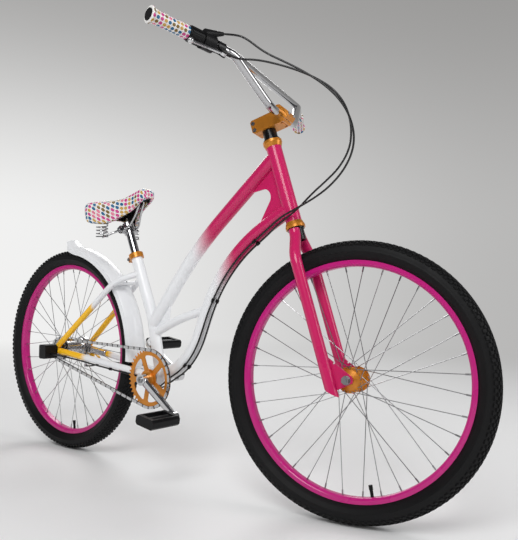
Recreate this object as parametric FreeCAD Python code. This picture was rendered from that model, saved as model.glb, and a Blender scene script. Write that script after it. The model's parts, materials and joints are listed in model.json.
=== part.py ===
"""Beach cruiser bicycle: bent-tube frame, steered front end, chain drive and sprung saddle.

Millimetres. X points forward, Y to the rider's left and Z up. The origin lies on the floor, in the
frame's middle plane, halfway between the axles. The front end is modelled pointing straight ahead
and then turned about the steering axis by steer_rest.
"""

import FreeCAD
import Part
import math
import os

V = FreeCAD.Vector
X, Y, Z = V(1, 0, 0), V(0, 1, 0), V(0, 0, 1)
SIDES = (-1, 1)

# Whole bicycle
wheelbase = 1112.0
head_angle = 71.03
fork_offset = 40.7
steer_rest = 13.1
bb_drop = 56.6

# Fits and cuts
overrun = 6.0
running_gap = 0.05
press_gap = 0.02
turning_gap = 0.4

# Tyres, tubes and valves
tyre_radius = 337.0
tyre_width = 60.0
tyre_wall = 4.0
shoulder_width = 45.0
shoulder_drop = 10.0
tube_slack = 5.0
tube_wall = 1.5
tube_rest = 0.5
valve_radius = 4.0
valve_cap_radius = 4.8
valve_reach = 27.0
valve_cap_length = 11.0

# Rims
rim_edge_radius = 287.0
rim_inner_radius = 272.0
rim_width = 30.0
rim_wall = 2.0
rim_well = 6.0
rim_flank = 9.0
rim_crown_width = 10.0

# Spokes
spoke_count = 36
spoke_crossings = 3
spoke_radius = 1.0
spoke_sides = 6
spoke_rest = 0.15
spoke_lean = 2.5
spoke_head = 1.6
nipple_radius = 2.0
nipple_length = 12.0
nipple_gap = 0.6
rim_stagger = 3.0
spoke_hole_radius = 1.5

# Front hub
front_flange_radius = 31.0
front_hole_circle = 28.0
front_flange_place = 31.0
front_flange_thickness = 3.4
front_barrel_radius = 17.0
front_boss_radius = 12.0
front_hub_half = 45.5
front_axle_radius = 4.5
front_axle_half = 69.0
front_wheel_turn = 12.0

# Rear hub
rear_flange_radius = 36.0
rear_hole_circle = 33.0
rear_flange_right = 36.0
rear_flange_left = 31.0
rear_flange_thickness = 3.6
rear_barrel_radius = 27.0
rear_hub_right = 41.0
rear_hub_left = 38.0
rear_axle_radius = 5.0
rear_axle_right = 92.0
rear_axle_left = 84.0
rear_wheel_turn = 5.5
cone_radius = 9.0
nut_across = 17.0
nut_height = 9.0
washer_radius = 11.0
washer_thickness = 1.6

# Chain drive
chain_pitch = 12.7
ring_teeth = 42
sprocket_teeth = 18
ring_wrap_links = 22
sprocket_wrap_links = 8
span_links = 36
chain_line = 48.5
chain_inner_width = 3.3
plate_thickness = 1.0
plate_half_height = 4.1
plate_corner = 2.0
plate_gap = 0.05
roller_radius = 3.87
roller_sides = 6
gullet_gap = 0.15
tooth_rise = 3.4
tooth_tip = 2.6
gullet_half_angle = 62.0
ring_thickness = 2.8
ring_hub_radius = 25.0
ring_window_inner = 29.0
ring_window_outer = 69.0
ring_arm_width = 16.0
ring_arms = 5
ring_window_corner = 6.0
sprocket_hub_radius = 24.0
sprocket_sleeve_inner = 44.0
sprocket_sleeve_outer = 56.5
sprocket_bore_gap = 0.06

# Cranks and pedals
crank_length = 175.0
crank_angle = -29.5
crank_boss_radius = 17.0
crank_boss_inner = 60.0
crank_boss_outer = 83.0
crank_eye_radius = 13.0
crank_eye_inner = 83.0
crank_eye_outer = 97.0
crank_root_width = 27.0
crank_root_depth = 15.0
crank_tip_width = 20.0
crank_tip_depth = 12.0
crank_bolt_radius = 9.0
crank_bolt_height = 3.0
crank_socket_radius = 3.5
spindle_radius = 8.5
pedal_axle_radius = 7.0
pedal_journal_radius = 5.0
pedal_collar = 5.0
pedal_length = 98.0
pedal_width = 68.0
pedal_height = 27.0
pedal_bar = 11.0
pedal_end = 12.0
pedal_barrel_radius = 10.5
pedal_chamfer = 12.0
pedal_tilt = 9.0
pedal_notch = 5.0
pedal_notches = 7

# Bottom bracket
bb_shell_radius = 21.0
bb_shell_half = 36.0
bb_bore_radius = 17.4
bb_cup_depth = 22.0
bb_cup_flange_radius = 20.0
bb_cup_flange = 4.0

# Frame tubes, with places measured from the bottom bracket or along the head tube
crown_gap = 84.7
fork_height = tyre_radius + crown_gap
head_length = 211.0
head_tube_radius = 20.5
head_bore_radius = 17.0
main_tube_radius = 20.0
top_tube_radius = 19.5
tube_thickness = 1.6
down_head_height = 38.5
down_lower_ahead = 129.0
down_lower_rise = 61.6
down_lower_bend = 200.0
down_upper_ahead = 246.0
down_upper_rise = 351.0
down_upper_bend = 470.0
top_head_height = 186.5
top_bend_ahead = 144.0
top_bend_rise = 384.0
top_bend = 1200.0
top_seat_back = 34.0
top_seat_rise = 160.0
seat_tube_radius = 17.5
seat_bend_back = 40.0
seat_bend_rise = 178.0
seat_bend = 220.0
seat_lean = 23.4
seat_upper_length = 214.0
brace_radius = 12.5
brace_seat_back = 29.0
brace_seat_rise = 131.0
brace_bend_ahead = 69.0
brace_bend_rise = 176.0
brace_bend = 600.0
brace_down_ahead = 187.0
brace_down_rise = 211.0
gusset_thickness = 5.0
gusset_eye_radius = 23.0
gusset_eye_back = 70.0
gusset_eye_height = 98.0
gusset_upper_slope = 9.5
gusset_lower_slope = 60.0
gusset_reach = 140.0
seat_gusset_top_ahead = 60.0
seat_gusset_top_rise = 280.0
seat_gusset_mid_ahead = 37.0
seat_gusset_mid_rise = 212.0
seat_gusset_low_ahead = 31.0
seat_gusset_low_rise = 155.0
tab_rise = 104.0
tab_length = 20.0
tab_radius = 11.0
tab_thickness = 4.0
tab_hole_radius = 4.0

# Rear stays and dropouts
seat_stay_radius = 9.5
seat_stay_root_rise = 313.0
seat_stay_root_side = 8.0
seat_stay_bend_back = 164.0
seat_stay_bend_rise = 289.0
seat_stay_bend_side = 48.0
seat_stay_bend = 130.0
chain_stay_radius = 10.0
chain_stay_root_back = 10.0
chain_stay_root_side = 22.5
chain_stay_root_rise = 5.0
chain_stay_bend_back = 149.0
chain_stay_bend_rise = 24.0
chain_stay_bend = 300.0
stay_tyre_gap = 4.0
stay_thickness = 1.4
dropout_place = 66.0
dropout_thickness = 6.0
dropout_eye_radius = 17.0
dropout_arm_radius = 9.0
dropout_seat_reach = 46.0
dropout_chain_reach = 52.0
dropout_slot_length = 15.0
dropout_slot_slope = 8.0
low_arm_slope = 32.0
low_arm_near = 53.6
low_arm_far = 69.6
low_arm_radius = 13.0
low_arm_hole_radius = 7.0
stay_end_gap = 26.0
bridge_radius = 7.0

# Fender
fender_gap = 12.5
fender_thickness = 2.5
fender_width = 66.0
fender_crown = 12.0
fender_skirt = 16.0
fender_low_angle = -3.0
fender_high_angle = 80.0
fender_tail_radius = 120.0
fender_tail_angle = 30.0
fender_tail_round = 30.0
fender_tab_width = 24.0
fender_tab_angle = 5.5
fender_tab_lap = 1.0
fender_bolt_radius = 3.0
fender_bolt_head_radius = 6.0
fender_bolt_head = 4.0
fender_bolt_rest = 0.5
bridge_rest = 0.2

# Headset and steerer
steerer_radius = 14.3
steerer_wall = 2.0
cup_radius = 25.5
cup_pocket_radius = 20.2
cup_height = 18.0
cup_flange = 7.0
cup_neck_radius = 21.5
cup_skirt = 12.0
bearing_height = 8.0
race_height = 3.6
cover_height = 5.0
cover_radius = 22.0
spacer_radius = 18.5
spacer_length = 25.9

# Fork
blade_radius = 14.3
blade_wall = 1.8
blade_place = 60.0
blade_foot = 20.0
blade_shoulder = 322.0
blade_shoulder_bend = 70.0
blade_neck = 384.0
blade_neck_side = 15.5
blade_neck_bend = 45.0
blade_crown = 398.0
blade_tip_slope = 42.0
crown_radius = 19.0
crown_height = 30.0
fork_plate_place = 53.0
fork_plate_thickness = 6.0
fork_plate_eye = 15.0
fork_plate_top = 78.0
fork_plate_low = 18.0
fork_eyelet_radius = 2.5
fork_eyelet_height = 46.0
fork_eyelet_out = 22.0

# Stem
stem_height = 38.0
stem_back = 38.0
stem_corner = 5.0
stem_width = 46.0
stem_reach = 46.5
stem_bar_rise = 23.0
stem_clamp_radius = 23.0
stem_clamp_corner = 6.5
stem_cap_height = 20.0
stem_jaw_depth = 14.0
stem_split = 1.2
stem_split_tilt = 33.0
stem_slit = 2.0
stem_bolt_radius = 3.5
stem_bolt_head_radius = 5.5
stem_bolt_head = 6.0
stem_bolt_spread = 15.0
stem_bolt_rise = 16.5
stem_pinch_inset = 7.0

# Handlebar, grips, shifter and lever
bar_radius = 11.1
bar_wall = 2.0
bar_bend_side = 75.0
bar_lower_bend = 55.0
bar_crossing_side = 195.0
bar_crossing_back = 45.0
bar_crossing_rise = 94.0
bar_upper_bend = 60.0
bar_half_width = 419.0
bar_end_back = 135.0
bar_end_rise = 108.0
cross_bar_radius = 9.5
grip_radius = 16.3
grip_fit = 0.03
grip_flange_radius = 20.0
grip_flange = 5.0
grip_overhang = 3.0
right_grip_length = 100.0
left_grip_length = 132.0
plug_radius = 14.0
plug_height = 2.0
plug_stem = 14.0
twist_length = 40.0
twist_radius = 17.6
twist_rib_radius = 19.0
twist_ribs = 12
twist_rib_width = 4.0
twist_gap = 0.8
shifter_length = 32.0
shifter_radius = 21.0
shifter_cone_length = 52.0
shifter_cone_root = 12.0
shifter_cone_tip = 4.5
shifter_cone_out = 14.0
shifter_cone_rise = 19.0
shifter_cone_tilt = 59.0
lever_drop = 45.0
lever_clamp_gap = 9.0
lever_clamp_length = 22.0
lever_clamp_radius = 15.5
lever_pivot_out = 27.0
lever_pivot_radius = 3.0
lever_length = 100.0
lever_ball_out = 42.0
lever_ball_radius = 7.0
lever_root_width = 11.0
lever_swing_room = 2.0
lever_waist_share = 0.8
lever_tip_width = 9.0
lever_depth = 7.0
lever_fork_gap = 0.5
lever_cheek = 3.0
lever_bracket_radius = 9.0
cable_stop_radius = 4.5
cable_stop_length = 16.0
cable_stop_drop = 8.0

# Seat post and clamp
post_radius = 13.6
post_wall = 2.2
post_insert = 88.0
post_exposed = 99.0
collar_radius = 22.5
collar_height = 16.0
collar_ear = 11.0
collar_ear_lap = 2.0
collar_ear_width = 16.0
collar_slit = 2.5
collar_bolt_radius = 2.5
collar_bolt_head_radius = 4.8
collar_bolt_head = 5.0
clamp_radius = 18.0
clamp_height = 34.0
clamp_ear_radius = 13.0
clamp_half_width = 30.0
clamp_bolt_radius = 4.0
clamp_nut_across = 13.0
clamp_nut = 8.0

# Saddle, with places measured from the top of the seat post
saddle_wall = 14.0
saddle_flank = 6.0
saddle_shell = 3.0
saddle_edge_share = 0.86
saddle_foot_share = 0.94
saddle_shoulder_share = 0.72
saddle_crown_share = 0.15
saddle_tail_back = 112.0
saddle_tail_half = 85.0
saddle_tail_top = 72.0
saddle_tail_low = 34.0
saddle_rear_back = 80.0
saddle_rear_half = 101.0
saddle_rear_top = 80.0
saddle_rear_low = 12.0
saddle_mid_back = 30.0
saddle_mid_half = 70.0
saddle_mid_top = 82.0
saddle_mid_low = 8.0
saddle_waist_ahead = 10.0
saddle_waist_half = 43.0
saddle_waist_top = 89.0
saddle_waist_low = 24.0
saddle_fore_ahead = 45.0
saddle_fore_half = 25.0
saddle_fore_top = 103.0
saddle_fore_low = 45.0
saddle_nose_ahead = 80.0
saddle_nose_half = 21.0
saddle_nose_top = 112.0
saddle_nose_low = 68.0
saddle_tip_ahead = 102.0
saddle_tip_half = 13.0
saddle_tip_top = 102.0
saddle_tip_low = 80.0
nose_boss_length = 24.0
nose_boss_depth = 14.0
spring_back = 49.0
spring_side = 64.0
spring_radius = 17.0
spring_wire = 2.4
spring_turns = 3
spring_steps = 8
spring_low = -36.0
spring_drop = 4.0
spring_gap = 0.3
spring_arc_share = 0.5
rail_radius = 3.5
rail_clamp_drop = 14.0
rail_clamp_side = 22.0
rail_waist_ahead = 46.0
rail_waist_rise = 30.0
rail_nose_ahead = 70.0
rail_waist_side = 10.0
rail_nose_side = 7.5
rail_bend = 24.0
eye_radius = 20.0
eye_thickness = 3.0

# Shift box and brake unit
box_inner = 71.5
box_outer = 118.0
box_height = 46.0
box_depth = 36.0
box_ahead = 4.0
box_low = 4.0
box_corner = 7.0
box_pocket_radius = 12.0
box_pocket = 34.0
drum_radius = 39.0
drum_inner = 40.0
drum_outer = 54.0
drum_step_radius = 22.0
drum_step = 7.0
arm_length = 122.0
arm_place = 42.0
arm_radius = 8.0
arm_thickness = 4.0
arm_clip_wall = 3.0
arm_clip_width = 14.0
cam_pivot_radius = 28.0
cam_angle = -62.0
cam_end_ahead = 5.0
cam_end_drop = 63.0
cam_radius = 6.0
cam_thickness = 4.0
anchor_radius = 4.5
anchor_length = 10.0

# Cables
cable_radius = 2.5
cable_share = 0.45
shift_lead = 25.0
brake_lead = 25.0
end_lead = 22.0
clip_length = 9.0
clip_wall = 2.0
clip_rest = 0.3
clip_foot = 6.0
box_inlet_side = 95.0
box_inlet_drop = 12.0

# Free loops of the two cables, measured from the top of the head tube
shift_loop = [
    (54, -190, 225), (100, -172, 183), (149, -148, 155), (190, -130, 129), (234, -113, 95),
    (268, -100, 56), (286, -90, 18), (292, -82, -19), (284, -75, -56), (255, -64, -93), (211, -53, -125),
    (162, -44, -148), (103, -36, -169), (45, -29, -188),
]
brake_loop = [
    (63, -155, 179), (112, -128, 164), (159, -110, 144), (202, -97, 120), (236, -86, 94),
    (260, -76, 61), (271, -68, 26), (272, -61, -7), (263, -54, -44), (231, -45, -82), (188, -38, -110),
    (144, -32, -136), (98, -27, -171), (38, -27, -205),
]
# Places of both cables along the down tube, as shares of its length with the rests above its skin
down_places = [
    (0.868, 2.3), (0.749, 2.2), (0.643, 2.4), (0.535, 2.3), (0.429, 2.2),
    (0.358, 3.5), (0.285, 4.5), (0.213, 5.3), (0.142, 5.7), (0.072, 5.6),
]
shift_lay = 45.0
brake_lay = 12.0
# Turns below the bottom bracket, measured from it
shift_turn = [(13, -19, -28), (-13, -22, -29)]
brake_turn = [(13, -2, -30), (-13, 5, -30)]
# Places along the chain stays, as shares of their length with the rests below their skin
stay_places = [(0.095, 3.4), (0.215, 2.1), (0.333, 1.7), (0.492, 2.3)]
# Ends of the stay runs: share, distance below the middle line and distance outwards
shift_leave = [(0.65, 14.6, 0.5), (0.78, 13.4, 1.6), (0.893, 11.4, 14.1)]
brake_leave = [(0.635, 18.9, 0), (0.753, 27.2, 0.6), (0.868, 42.6, 3.1)]
down_clip_runs = (0, 3, 7)
stay_clip_runs = (0, 2)
route_steps = 1000

# Places that the sizes above fix


def pitch_radius(teeth):
    """Radius of the circle through the roller centres on a toothed wheel."""
    return chain_pitch / (2 * math.sin(math.pi / teeth))


def wrap_end(links, teeth):
    """Angle from the middle of a chain wrap to the last roller that it seats."""
    return links * math.pi / teeth


ring_pitch = pitch_radius(ring_teeth)
sprocket_pitch = pitch_radius(sprocket_teeth)
ring_end = wrap_end(ring_wrap_links, ring_teeth)
sprocket_end = wrap_end(sprocket_wrap_links, sprocket_teeth)
span_rise = ring_pitch * math.sin(ring_end) - sprocket_pitch * math.sin(sprocket_end)
span_run = math.sqrt((span_links * chain_pitch) ** 2 - span_rise**2)
centre_distance = span_run - ring_pitch * math.cos(ring_end) - sprocket_pitch * math.cos(sprocket_end)

rear_axle = V(-wheelbase / 2, 0, tyre_radius)
front_axle = V(wheelbase / 2, 0, tyre_radius)
bb = rear_axle + V(math.sqrt(centre_distance**2 - bb_drop**2), 0, -bb_drop)
drive_angle = math.degrees(math.asin(bb_drop / centre_distance))

steer_up = V(-math.cos(math.radians(head_angle)), 0, math.sin(math.radians(head_angle)))
steer_out = V(math.sin(math.radians(head_angle)), 0, math.cos(math.radians(head_angle)))
steer_foot = front_axle - steer_out * fork_offset

seat_up = V(-math.sin(math.radians(seat_lean)), 0, math.cos(math.radians(seat_lean)))
seat_bend_point = bb + V(-seat_bend_back, 0, seat_bend_rise)
seat_top = seat_bend_point + seat_up * seat_upper_length
post_top = seat_top + seat_up * post_exposed

crank_out = V(math.cos(math.radians(crank_angle)), 0, math.sin(math.radians(crank_angle)))
stay_mid_side = tyre_width / 2 + stay_tyre_gap + chain_stay_radius
front_lacing = (front_axle, front_hole_circle, front_flange_place, front_flange_place, front_flange_thickness)
rear_lacing = (rear_axle, rear_hole_circle, rear_flange_left, rear_flange_right, rear_flange_thickness)
fender_inner = tyre_radius + fender_gap
fender_outer = fender_inner + fender_thickness


def on_axis(height, out=0.0, side=0.0):
    """A point of the straight front end: height up the steering axis, out ahead of it, side to the left."""
    return steer_foot + steer_up * height + steer_out * out + Y * side


def from_bb(ahead, rise, side=0.0):
    """A point given from the bottom bracket's centre."""
    return bb + V(ahead, side, rise)


def from_post(ahead, rise, side=0.0):
    """A point given from the top of the seat post."""
    return post_top + V(ahead, side, rise)


head_foot = on_axis(fork_height)
head_top = on_axis(fork_height + head_length)
cover_top = fork_height + head_length + cup_height + turning_gap + cover_height
stem_low = cover_top + spacer_length
bar_centre = on_axis(stem_low + stem_bar_rise, stem_reach)


# Shared shapes


def unit(vector):
    """The vector's direction, with length one."""
    return vector / vector.Length


def cylinder(start, axis, radius, length):
    """A round bar from start along axis."""
    return Part.makeCylinder(radius, length, start, axis)


def ring(start, axis, outer, inner, length):
    """A round bar with a bore right through it."""
    way = unit(axis)
    bore = cylinder(start - way * overrun, way, inner, length + 2 * overrun)
    return cylinder(start, way, outer, length).cut(bore)


def prism(start, axis, radius, length, sides, turn=0.0):
    """A bar with a regular outline whose corners lie on the radius."""
    way = unit(axis)
    across = unit(way.cross(X if abs(way.x) < abs(way.y) + abs(way.z) else Y))
    up = way.cross(across)
    corners = []
    for k in range(sides + 1):
        angle = turn + 2 * math.pi * k / sides
        corners.append(start + across * (radius * math.cos(angle)) + up * (radius * math.sin(angle)))
    return Part.Face(Part.makePolygon(corners)).extrude(way * length)


def hexagon(start, axis, across_flats, length):
    """A six-sided bar of the given width over its flats."""
    return prism(start, axis, across_flats / math.sqrt(3), length, 6)


def bent_wire(points, radii):
    """Straight runs through the points, joined at each inner point by a tangent arc of its radius."""
    edges = []
    last = points[0]
    for before, corner, after, radius in zip(points, points[1:], points[2:], radii):
        back, ahead = unit(before - corner), unit(after - corner)
        half = back.getAngle(ahead) / 2
        reach = radius / math.tan(half)
        middle = unit(back + ahead)
        start, end = corner + back * reach, corner + ahead * reach
        top = corner + middle * (radius / math.sin(half) - radius)
        if (start - last).Length > press_gap:
            edges.append(Part.LineSegment(last, start).toShape())
        else:
            start = last
        edges.append(Part.Arc(start, top, end).toShape())
        last = end
    if (points[-1] - last).Length > press_gap:
        edges.append(Part.LineSegment(last, points[-1]).toShape())
    return Part.Wire(edges)


def pipe(wire, radius):
    """A round bar swept along a wire."""
    first = wire.OrderedEdges[0]
    start = wire.OrderedVertexes[0].Point
    way = first.tangentAt(first.getParameterByLength(0.0))
    if (first.valueAt(first.FirstParameter) - start).Length > press_gap:
        way = way * -1
    profile = Part.Wire([Part.makeCircle(radius, start, way)])
    return wire.makePipeShell([profile], True, False)


def hollow_pipe(wire, radius, wall):
    """A round tube swept along a wire."""
    return pipe(wire, radius).cut(pipe(wire, radius - wall))


def slab(points, low, thickness):
    """A flat plate across Y with straight edges through the points."""
    corners = [V(q.x, low, q.z) for q in points]
    return Part.Face(Part.makePolygon(corners + corners[:1])).extrude(Y * thickness)


def round_bar(a, b, radius, low, thickness):
    """A flat plate across Y with a round end about a and another about b."""
    a, b = V(a.x, low, a.z), V(b.x, low, b.z)
    way = unit(b - a) * radius
    side = way.cross(Y)
    edges = [
        Part.LineSegment(a + side, b + side).toShape(),
        Part.Arc(b + side, b + way, b - side).toShape(),
        Part.LineSegment(b - side, a - side).toShape(),
        Part.Arc(a - side, a - way, a + side).toShape(),
    ]
    return Part.Face(Part.Wire(edges)).extrude(Y * thickness)


def block(centre, along, across, length, width, depth):
    """A box about its centre with its length along one direction and its width across it."""
    a = unit(along)
    c = unit(across)
    d = a.cross(c)
    corner = centre - a * (length / 2) - c * (width / 2) - d * (depth / 2)
    outline = [corner, corner + a * length, corner + a * length + c * width, corner + c * width, corner]
    return Part.Face(Part.makePolygon(outline)).extrude(d * depth)


def spun(points, centre, axis=Y, out=X):
    """A turned piece: an outline of (radius, place along the axis) pairs and arcs, spun about the axis."""
    way = unit(axis)
    edges = []
    place = [centre + out * r + way * s for r, s in points]
    for a, b in zip(place, place[1:] + place[:1]):
        edges.append(Part.LineSegment(a, b).toShape())
    return Part.Face(Part.Wire(edges)).revolve(centre, way, 360)


def group(shapes):
    """Several separate solids as one shape."""
    return Part.makeCompound(shapes)


def cut_all(shape, tools):
    """The shape without what the tools take away."""
    for tool in tools:
        shape = shape.cut(tool)
    return shape


def steered(shape):
    """A piece of the straight front end, turned to where it rests."""
    turned = shape.copy()
    turned.rotate(steer_foot, steer_up, steer_rest)
    return turned


def steered_point(point):
    """A point of the straight front end, turned to where it rests."""
    turn = FreeCAD.Rotation(steer_up, steer_rest)
    return steer_foot + turn.multVec(point - steer_foot)


# Wheels


def tyre(axle):
    """A balloon tyre: an open casing whose two feet sit inside the rim's edges."""
    foot = rim_width / 2 - rim_wall - press_gap
    seat = rim_edge_radius - rim_well + press_gap
    lip = rim_edge_radius + rim_wall / 2
    belly = tyre_radius - tyre_width / 2 - rim_wall
    shoulder = tyre_radius - shoulder_drop

    def skin(inset, low):
        side = foot - min(inset, tyre_wall - rim_wall / 2)
        bulge = tyre_width / 2 - inset
        edge = shoulder_width / 2 - inset * bulge / tyre_width * 2
        rise = shoulder - inset
        return [(low, side), (lip, side), (belly, bulge), (rise, edge), (tyre_radius - inset, 0)]

    def edges(rows, flip):
        p = [axle + X * r + Y * (s * flip) for r, s in rows]
        q = [axle + X * r - Y * (s * flip) for r, s in rows]
        return [
            Part.LineSegment(p[0], p[1]).toShape(),
            Part.Arc(p[1], p[2], p[3]).toShape(),
            Part.Arc(p[3], p[4], q[3]).toShape(),
            Part.Arc(q[3], q[2], q[1]).toShape(),
            Part.LineSegment(q[1], q[0]).toShape(),
        ]

    outer, inner = skin(0.0, seat), skin(tyre_wall, seat)
    joins = []
    for flip in SIDES:
        a = axle + X * outer[0][0] + Y * (outer[0][1] * flip)
        b = axle + X * inner[0][0] + Y * (inner[0][1] * flip)
        joins.append(Part.LineSegment(a, b).toShape())
    outline = Part.Wire(Part.__sortEdges__(edges(outer, 1) + edges(inner, 1) + joins))
    return Part.Face(outline).revolve(axle, Y, 360)


def rim(axle):
    """A box-section rim with two edges for the tyre, a well between them and a valve hole."""
    half = rim_width / 2
    crown = rim_crown_width / 2
    flank = rim_edge_radius - rim_flank
    floor = rim_edge_radius - rim_well
    box = floor - rim_wall

    def outline(rows):
        points = [axle + X * r + Y * s for r, s in rows]
        return Part.makePolygon(points + points[:1])

    def rounded(radius, side, low, crown_half):
        """The rim's inner face: a flat crown with an arc up to each flank."""
        points = [(radius, side), (low, crown_half)]
        mid = ((radius + low * 2) / 3, (side * 2 + crown_half) / 3)
        return points, mid

    def shell(inset):
        top, low = (rim_edge_radius, rim_inner_radius) if inset == 0 else (box, rim_inner_radius + inset)
        side, flat = half - inset, crown
        ends, mid = rounded(flank, side, low, flat)
        at = lambda r, s: axle + X * r + Y * s
        return [
            Part.LineSegment(at(top, side), at(flank, side)).toShape(),
            Part.Arc(at(*ends[0]), at(*mid), at(*ends[1])).toShape(),
            Part.LineSegment(at(low, flat), at(low, -flat)).toShape(),
            Part.Arc(at(low, -flat), at(mid[0], -mid[1]), at(flank, -side)).toShape(),
            Part.LineSegment(at(flank, -side), at(top, -side)).toShape(),
        ]

    at = lambda r, s: axle + X * r + Y * s
    lip = half - rim_wall
    well = [(rim_edge_radius, -half), (rim_edge_radius, -lip), (floor, -lip), (floor, lip)]
    well += [(rim_edge_radius, lip), (rim_edge_radius, half)]
    top = [Part.LineSegment(at(*a), at(*b)).toShape() for a, b in zip(well, well[1:])]
    outer = Part.Wire(Part.__sortEdges__(shell(0) + top))
    closing = Part.LineSegment(at(box, -half + rim_wall), at(box, half - rim_wall)).toShape()
    inner = Part.Wire(Part.__sortEdges__(shell(rim_wall) + [closing]))
    body = Part.Face(outer).cut(Part.Face(inner)).Faces[0].revolve(axle, Y, 360)
    hole = cylinder(axle, -Z, valve_radius + press_gap, rim_edge_radius)
    return body.cut(hole)


def inner_tube(axle):
    """The air tube inside the tyre, with its valve through the bottom of the rim."""
    section = tyre_width / 2 - tyre_wall - tube_slack
    middle = tyre_radius - tyre_wall - tube_rest - section
    body = Part.makeTorus(middle, section, axle, Y).cut(Part.makeTorus(middle, section - tube_wall, axle, Y))
    root = middle - section + tube_wall / 2
    tip = rim_inner_radius - valve_reach
    stem = cylinder(axle - Z * root, Z, valve_radius, root - tip)
    cap = cylinder(axle - Z * (tip + valve_cap_length), Z, valve_cap_radius, valve_cap_length)
    return body.fuse([stem, cap])


def spokes(axle, circle, left, right, thickness):
    """Crossed spokes, each with its bend through the hub flange and its nipple at the rim."""
    made = []
    step = 2 * math.pi / spoke_count
    lead = spoke_crossings * 2 * step
    for k in range(spoke_count):
        side = 1 if k % 2 == 0 else -1
        ahead = 1 if (k // 2) % 2 == 0 else -1
        rim_angle = (k + 0.5) * step
        hub_angle = rim_angle - ahead * lead
        flange = left if side > 0 else -right
        outward = side * ahead
        beside = thickness / 2 + spoke_radius + spoke_rest + (spoke_lean if ahead > 0 else 0)
        hub_way = X * math.cos(hub_angle) + Z * math.sin(hub_angle)
        rim_way = X * math.cos(rim_angle) + Z * math.sin(rim_angle)
        start = axle + hub_way * circle + Y * (flange + outward * beside)
        end = axle + rim_way * (rim_inner_radius - nipple_gap) + Y * (side * rim_stagger)
        way = unit(end - start)
        length = (end - start).Length
        wire = prism(start, way, spoke_radius, length - nipple_length / 2, spoke_sides)
        nipple = prism(end - way * nipple_length, way, nipple_radius, nipple_length, spoke_sides)
        bend_start = start + Y * (outward * spoke_radius)
        bend_length = beside + spoke_radius + thickness / 2 + spoke_head
        bend = prism(bend_start, Y * -outward, spoke_radius, bend_length, spoke_sides)
        made.append(wire.fuse([nipple, bend]))
    return group(made)


def spoke_holes(axle, circle, left, right, thickness):
    """Cutters for the holes round both hub flanges."""
    cutters = []
    step = 2 * math.pi / spoke_count
    lead = spoke_crossings * 2 * step
    for k in range(spoke_count):
        ahead = 1 if (k // 2) % 2 == 0 else -1
        angle = (k + 0.5) * step - ahead * lead
        flange = left if k % 2 == 0 else -right
        way = X * math.cos(angle) + Z * math.sin(angle)
        start = axle + way * circle + Y * (flange - thickness)
        cutters.append(prism(start, Y, spoke_hole_radius, 2 * thickness, spoke_sides))
    return group(cutters)


def front_hub():
    """High-flange front hub with a stepped barrel, bored for its axle."""
    inner = front_flange_place - front_flange_thickness / 2
    outer = front_flange_place + front_flange_thickness / 2
    waist = front_barrel_radius
    step = (front_flange_radius + front_barrel_radius) / 2
    bore = front_axle_radius + running_gap
    half = [(front_boss_radius, front_hub_half), (front_boss_radius, outer + front_flange_thickness)]
    half += [(step, outer), (front_flange_radius, outer), (front_flange_radius, inner)]
    half += [(step, inner), (waist, inner - 2 * front_flange_thickness)]
    rows = [(bore, front_hub_half)] + half
    rows += [(r, -s) for r, s in reversed(half)] + [(bore, -front_hub_half)]
    return spun(rows, front_axle).cut(spoke_holes(*front_lacing))


def rear_hub():
    """Fat gear-hub shell with a flange near each end, bored for its axle."""
    t = rear_flange_thickness
    bore = rear_axle_radius + running_gap
    boss = (rear_barrel_radius + cone_radius) / 2
    left, right = rear_flange_left, rear_flange_right
    rows = [(bore, rear_hub_left), (boss, rear_hub_left), (rear_barrel_radius, left + t)]
    rows += [(rear_barrel_radius, left + t / 2), (rear_flange_radius, left + t / 2)]
    rows += [(rear_flange_radius, left - t / 2), (rear_barrel_radius, left - t / 2)]
    rows += [(rear_barrel_radius, t / 2 - right), (rear_flange_radius, t / 2 - right)]
    rows += [(rear_flange_radius, -t / 2 - right), (rear_barrel_radius, -t / 2 - right)]
    rows += [(boss, -rear_hub_right), (bore, -rear_hub_right)]
    return spun(rows, rear_axle).cut(spoke_holes(*rear_lacing))


def nut(start, way, shaft):
    """A hexagon nut with a washer face under it, bored for its shaft."""
    washer = cylinder(start, way, washer_radius, washer_thickness)
    body = hexagon(start + way * washer_thickness, way, nut_across, nut_height)
    bore = cylinder(start - way * overrun, way, shaft + press_gap, nut_height + 2 * overrun)
    return washer.fuse(body).cut(bore)


def front_axle_set():
    """Front axle with its cones inside the fork plates and its nuts outside them."""
    inside = fork_plate_place - fork_plate_thickness / 2
    outside = fork_plate_place + fork_plate_thickness / 2
    cone_start = front_hub_half + turning_gap
    made = [cylinder(front_axle - Y * front_axle_half, Y, front_axle_radius, 2 * front_axle_half)]
    for side in SIDES:
        way = Y * side
        bore = front_axle_radius + press_gap
        made.append(ring(front_axle + way * cone_start, way, cone_radius, bore, inside - cone_start))
        made.append(nut(front_axle + way * outside, way, front_axle_radius))
    return group(made)


def rear_axle_set():
    """Rear axle with its locknuts inside the dropouts and its nuts outside them."""
    inside = dropout_place - dropout_thickness / 2
    outside = dropout_place + dropout_thickness / 2
    bore = rear_axle_radius + press_gap
    length = rear_axle_right + rear_axle_left
    made = [cylinder(rear_axle - Y * rear_axle_right, Y, rear_axle_radius, length)]
    for side, start in ((-1, sprocket_sleeve_outer + turning_gap), (1, drum_outer + drum_step)):
        way = Y * side
        made.append(ring(rear_axle + way * start, way, cone_radius, bore, inside - start))
        made.append(nut(rear_axle + way * outside, way, rear_axle_radius))
    return group(made)


# Chain drive


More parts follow.
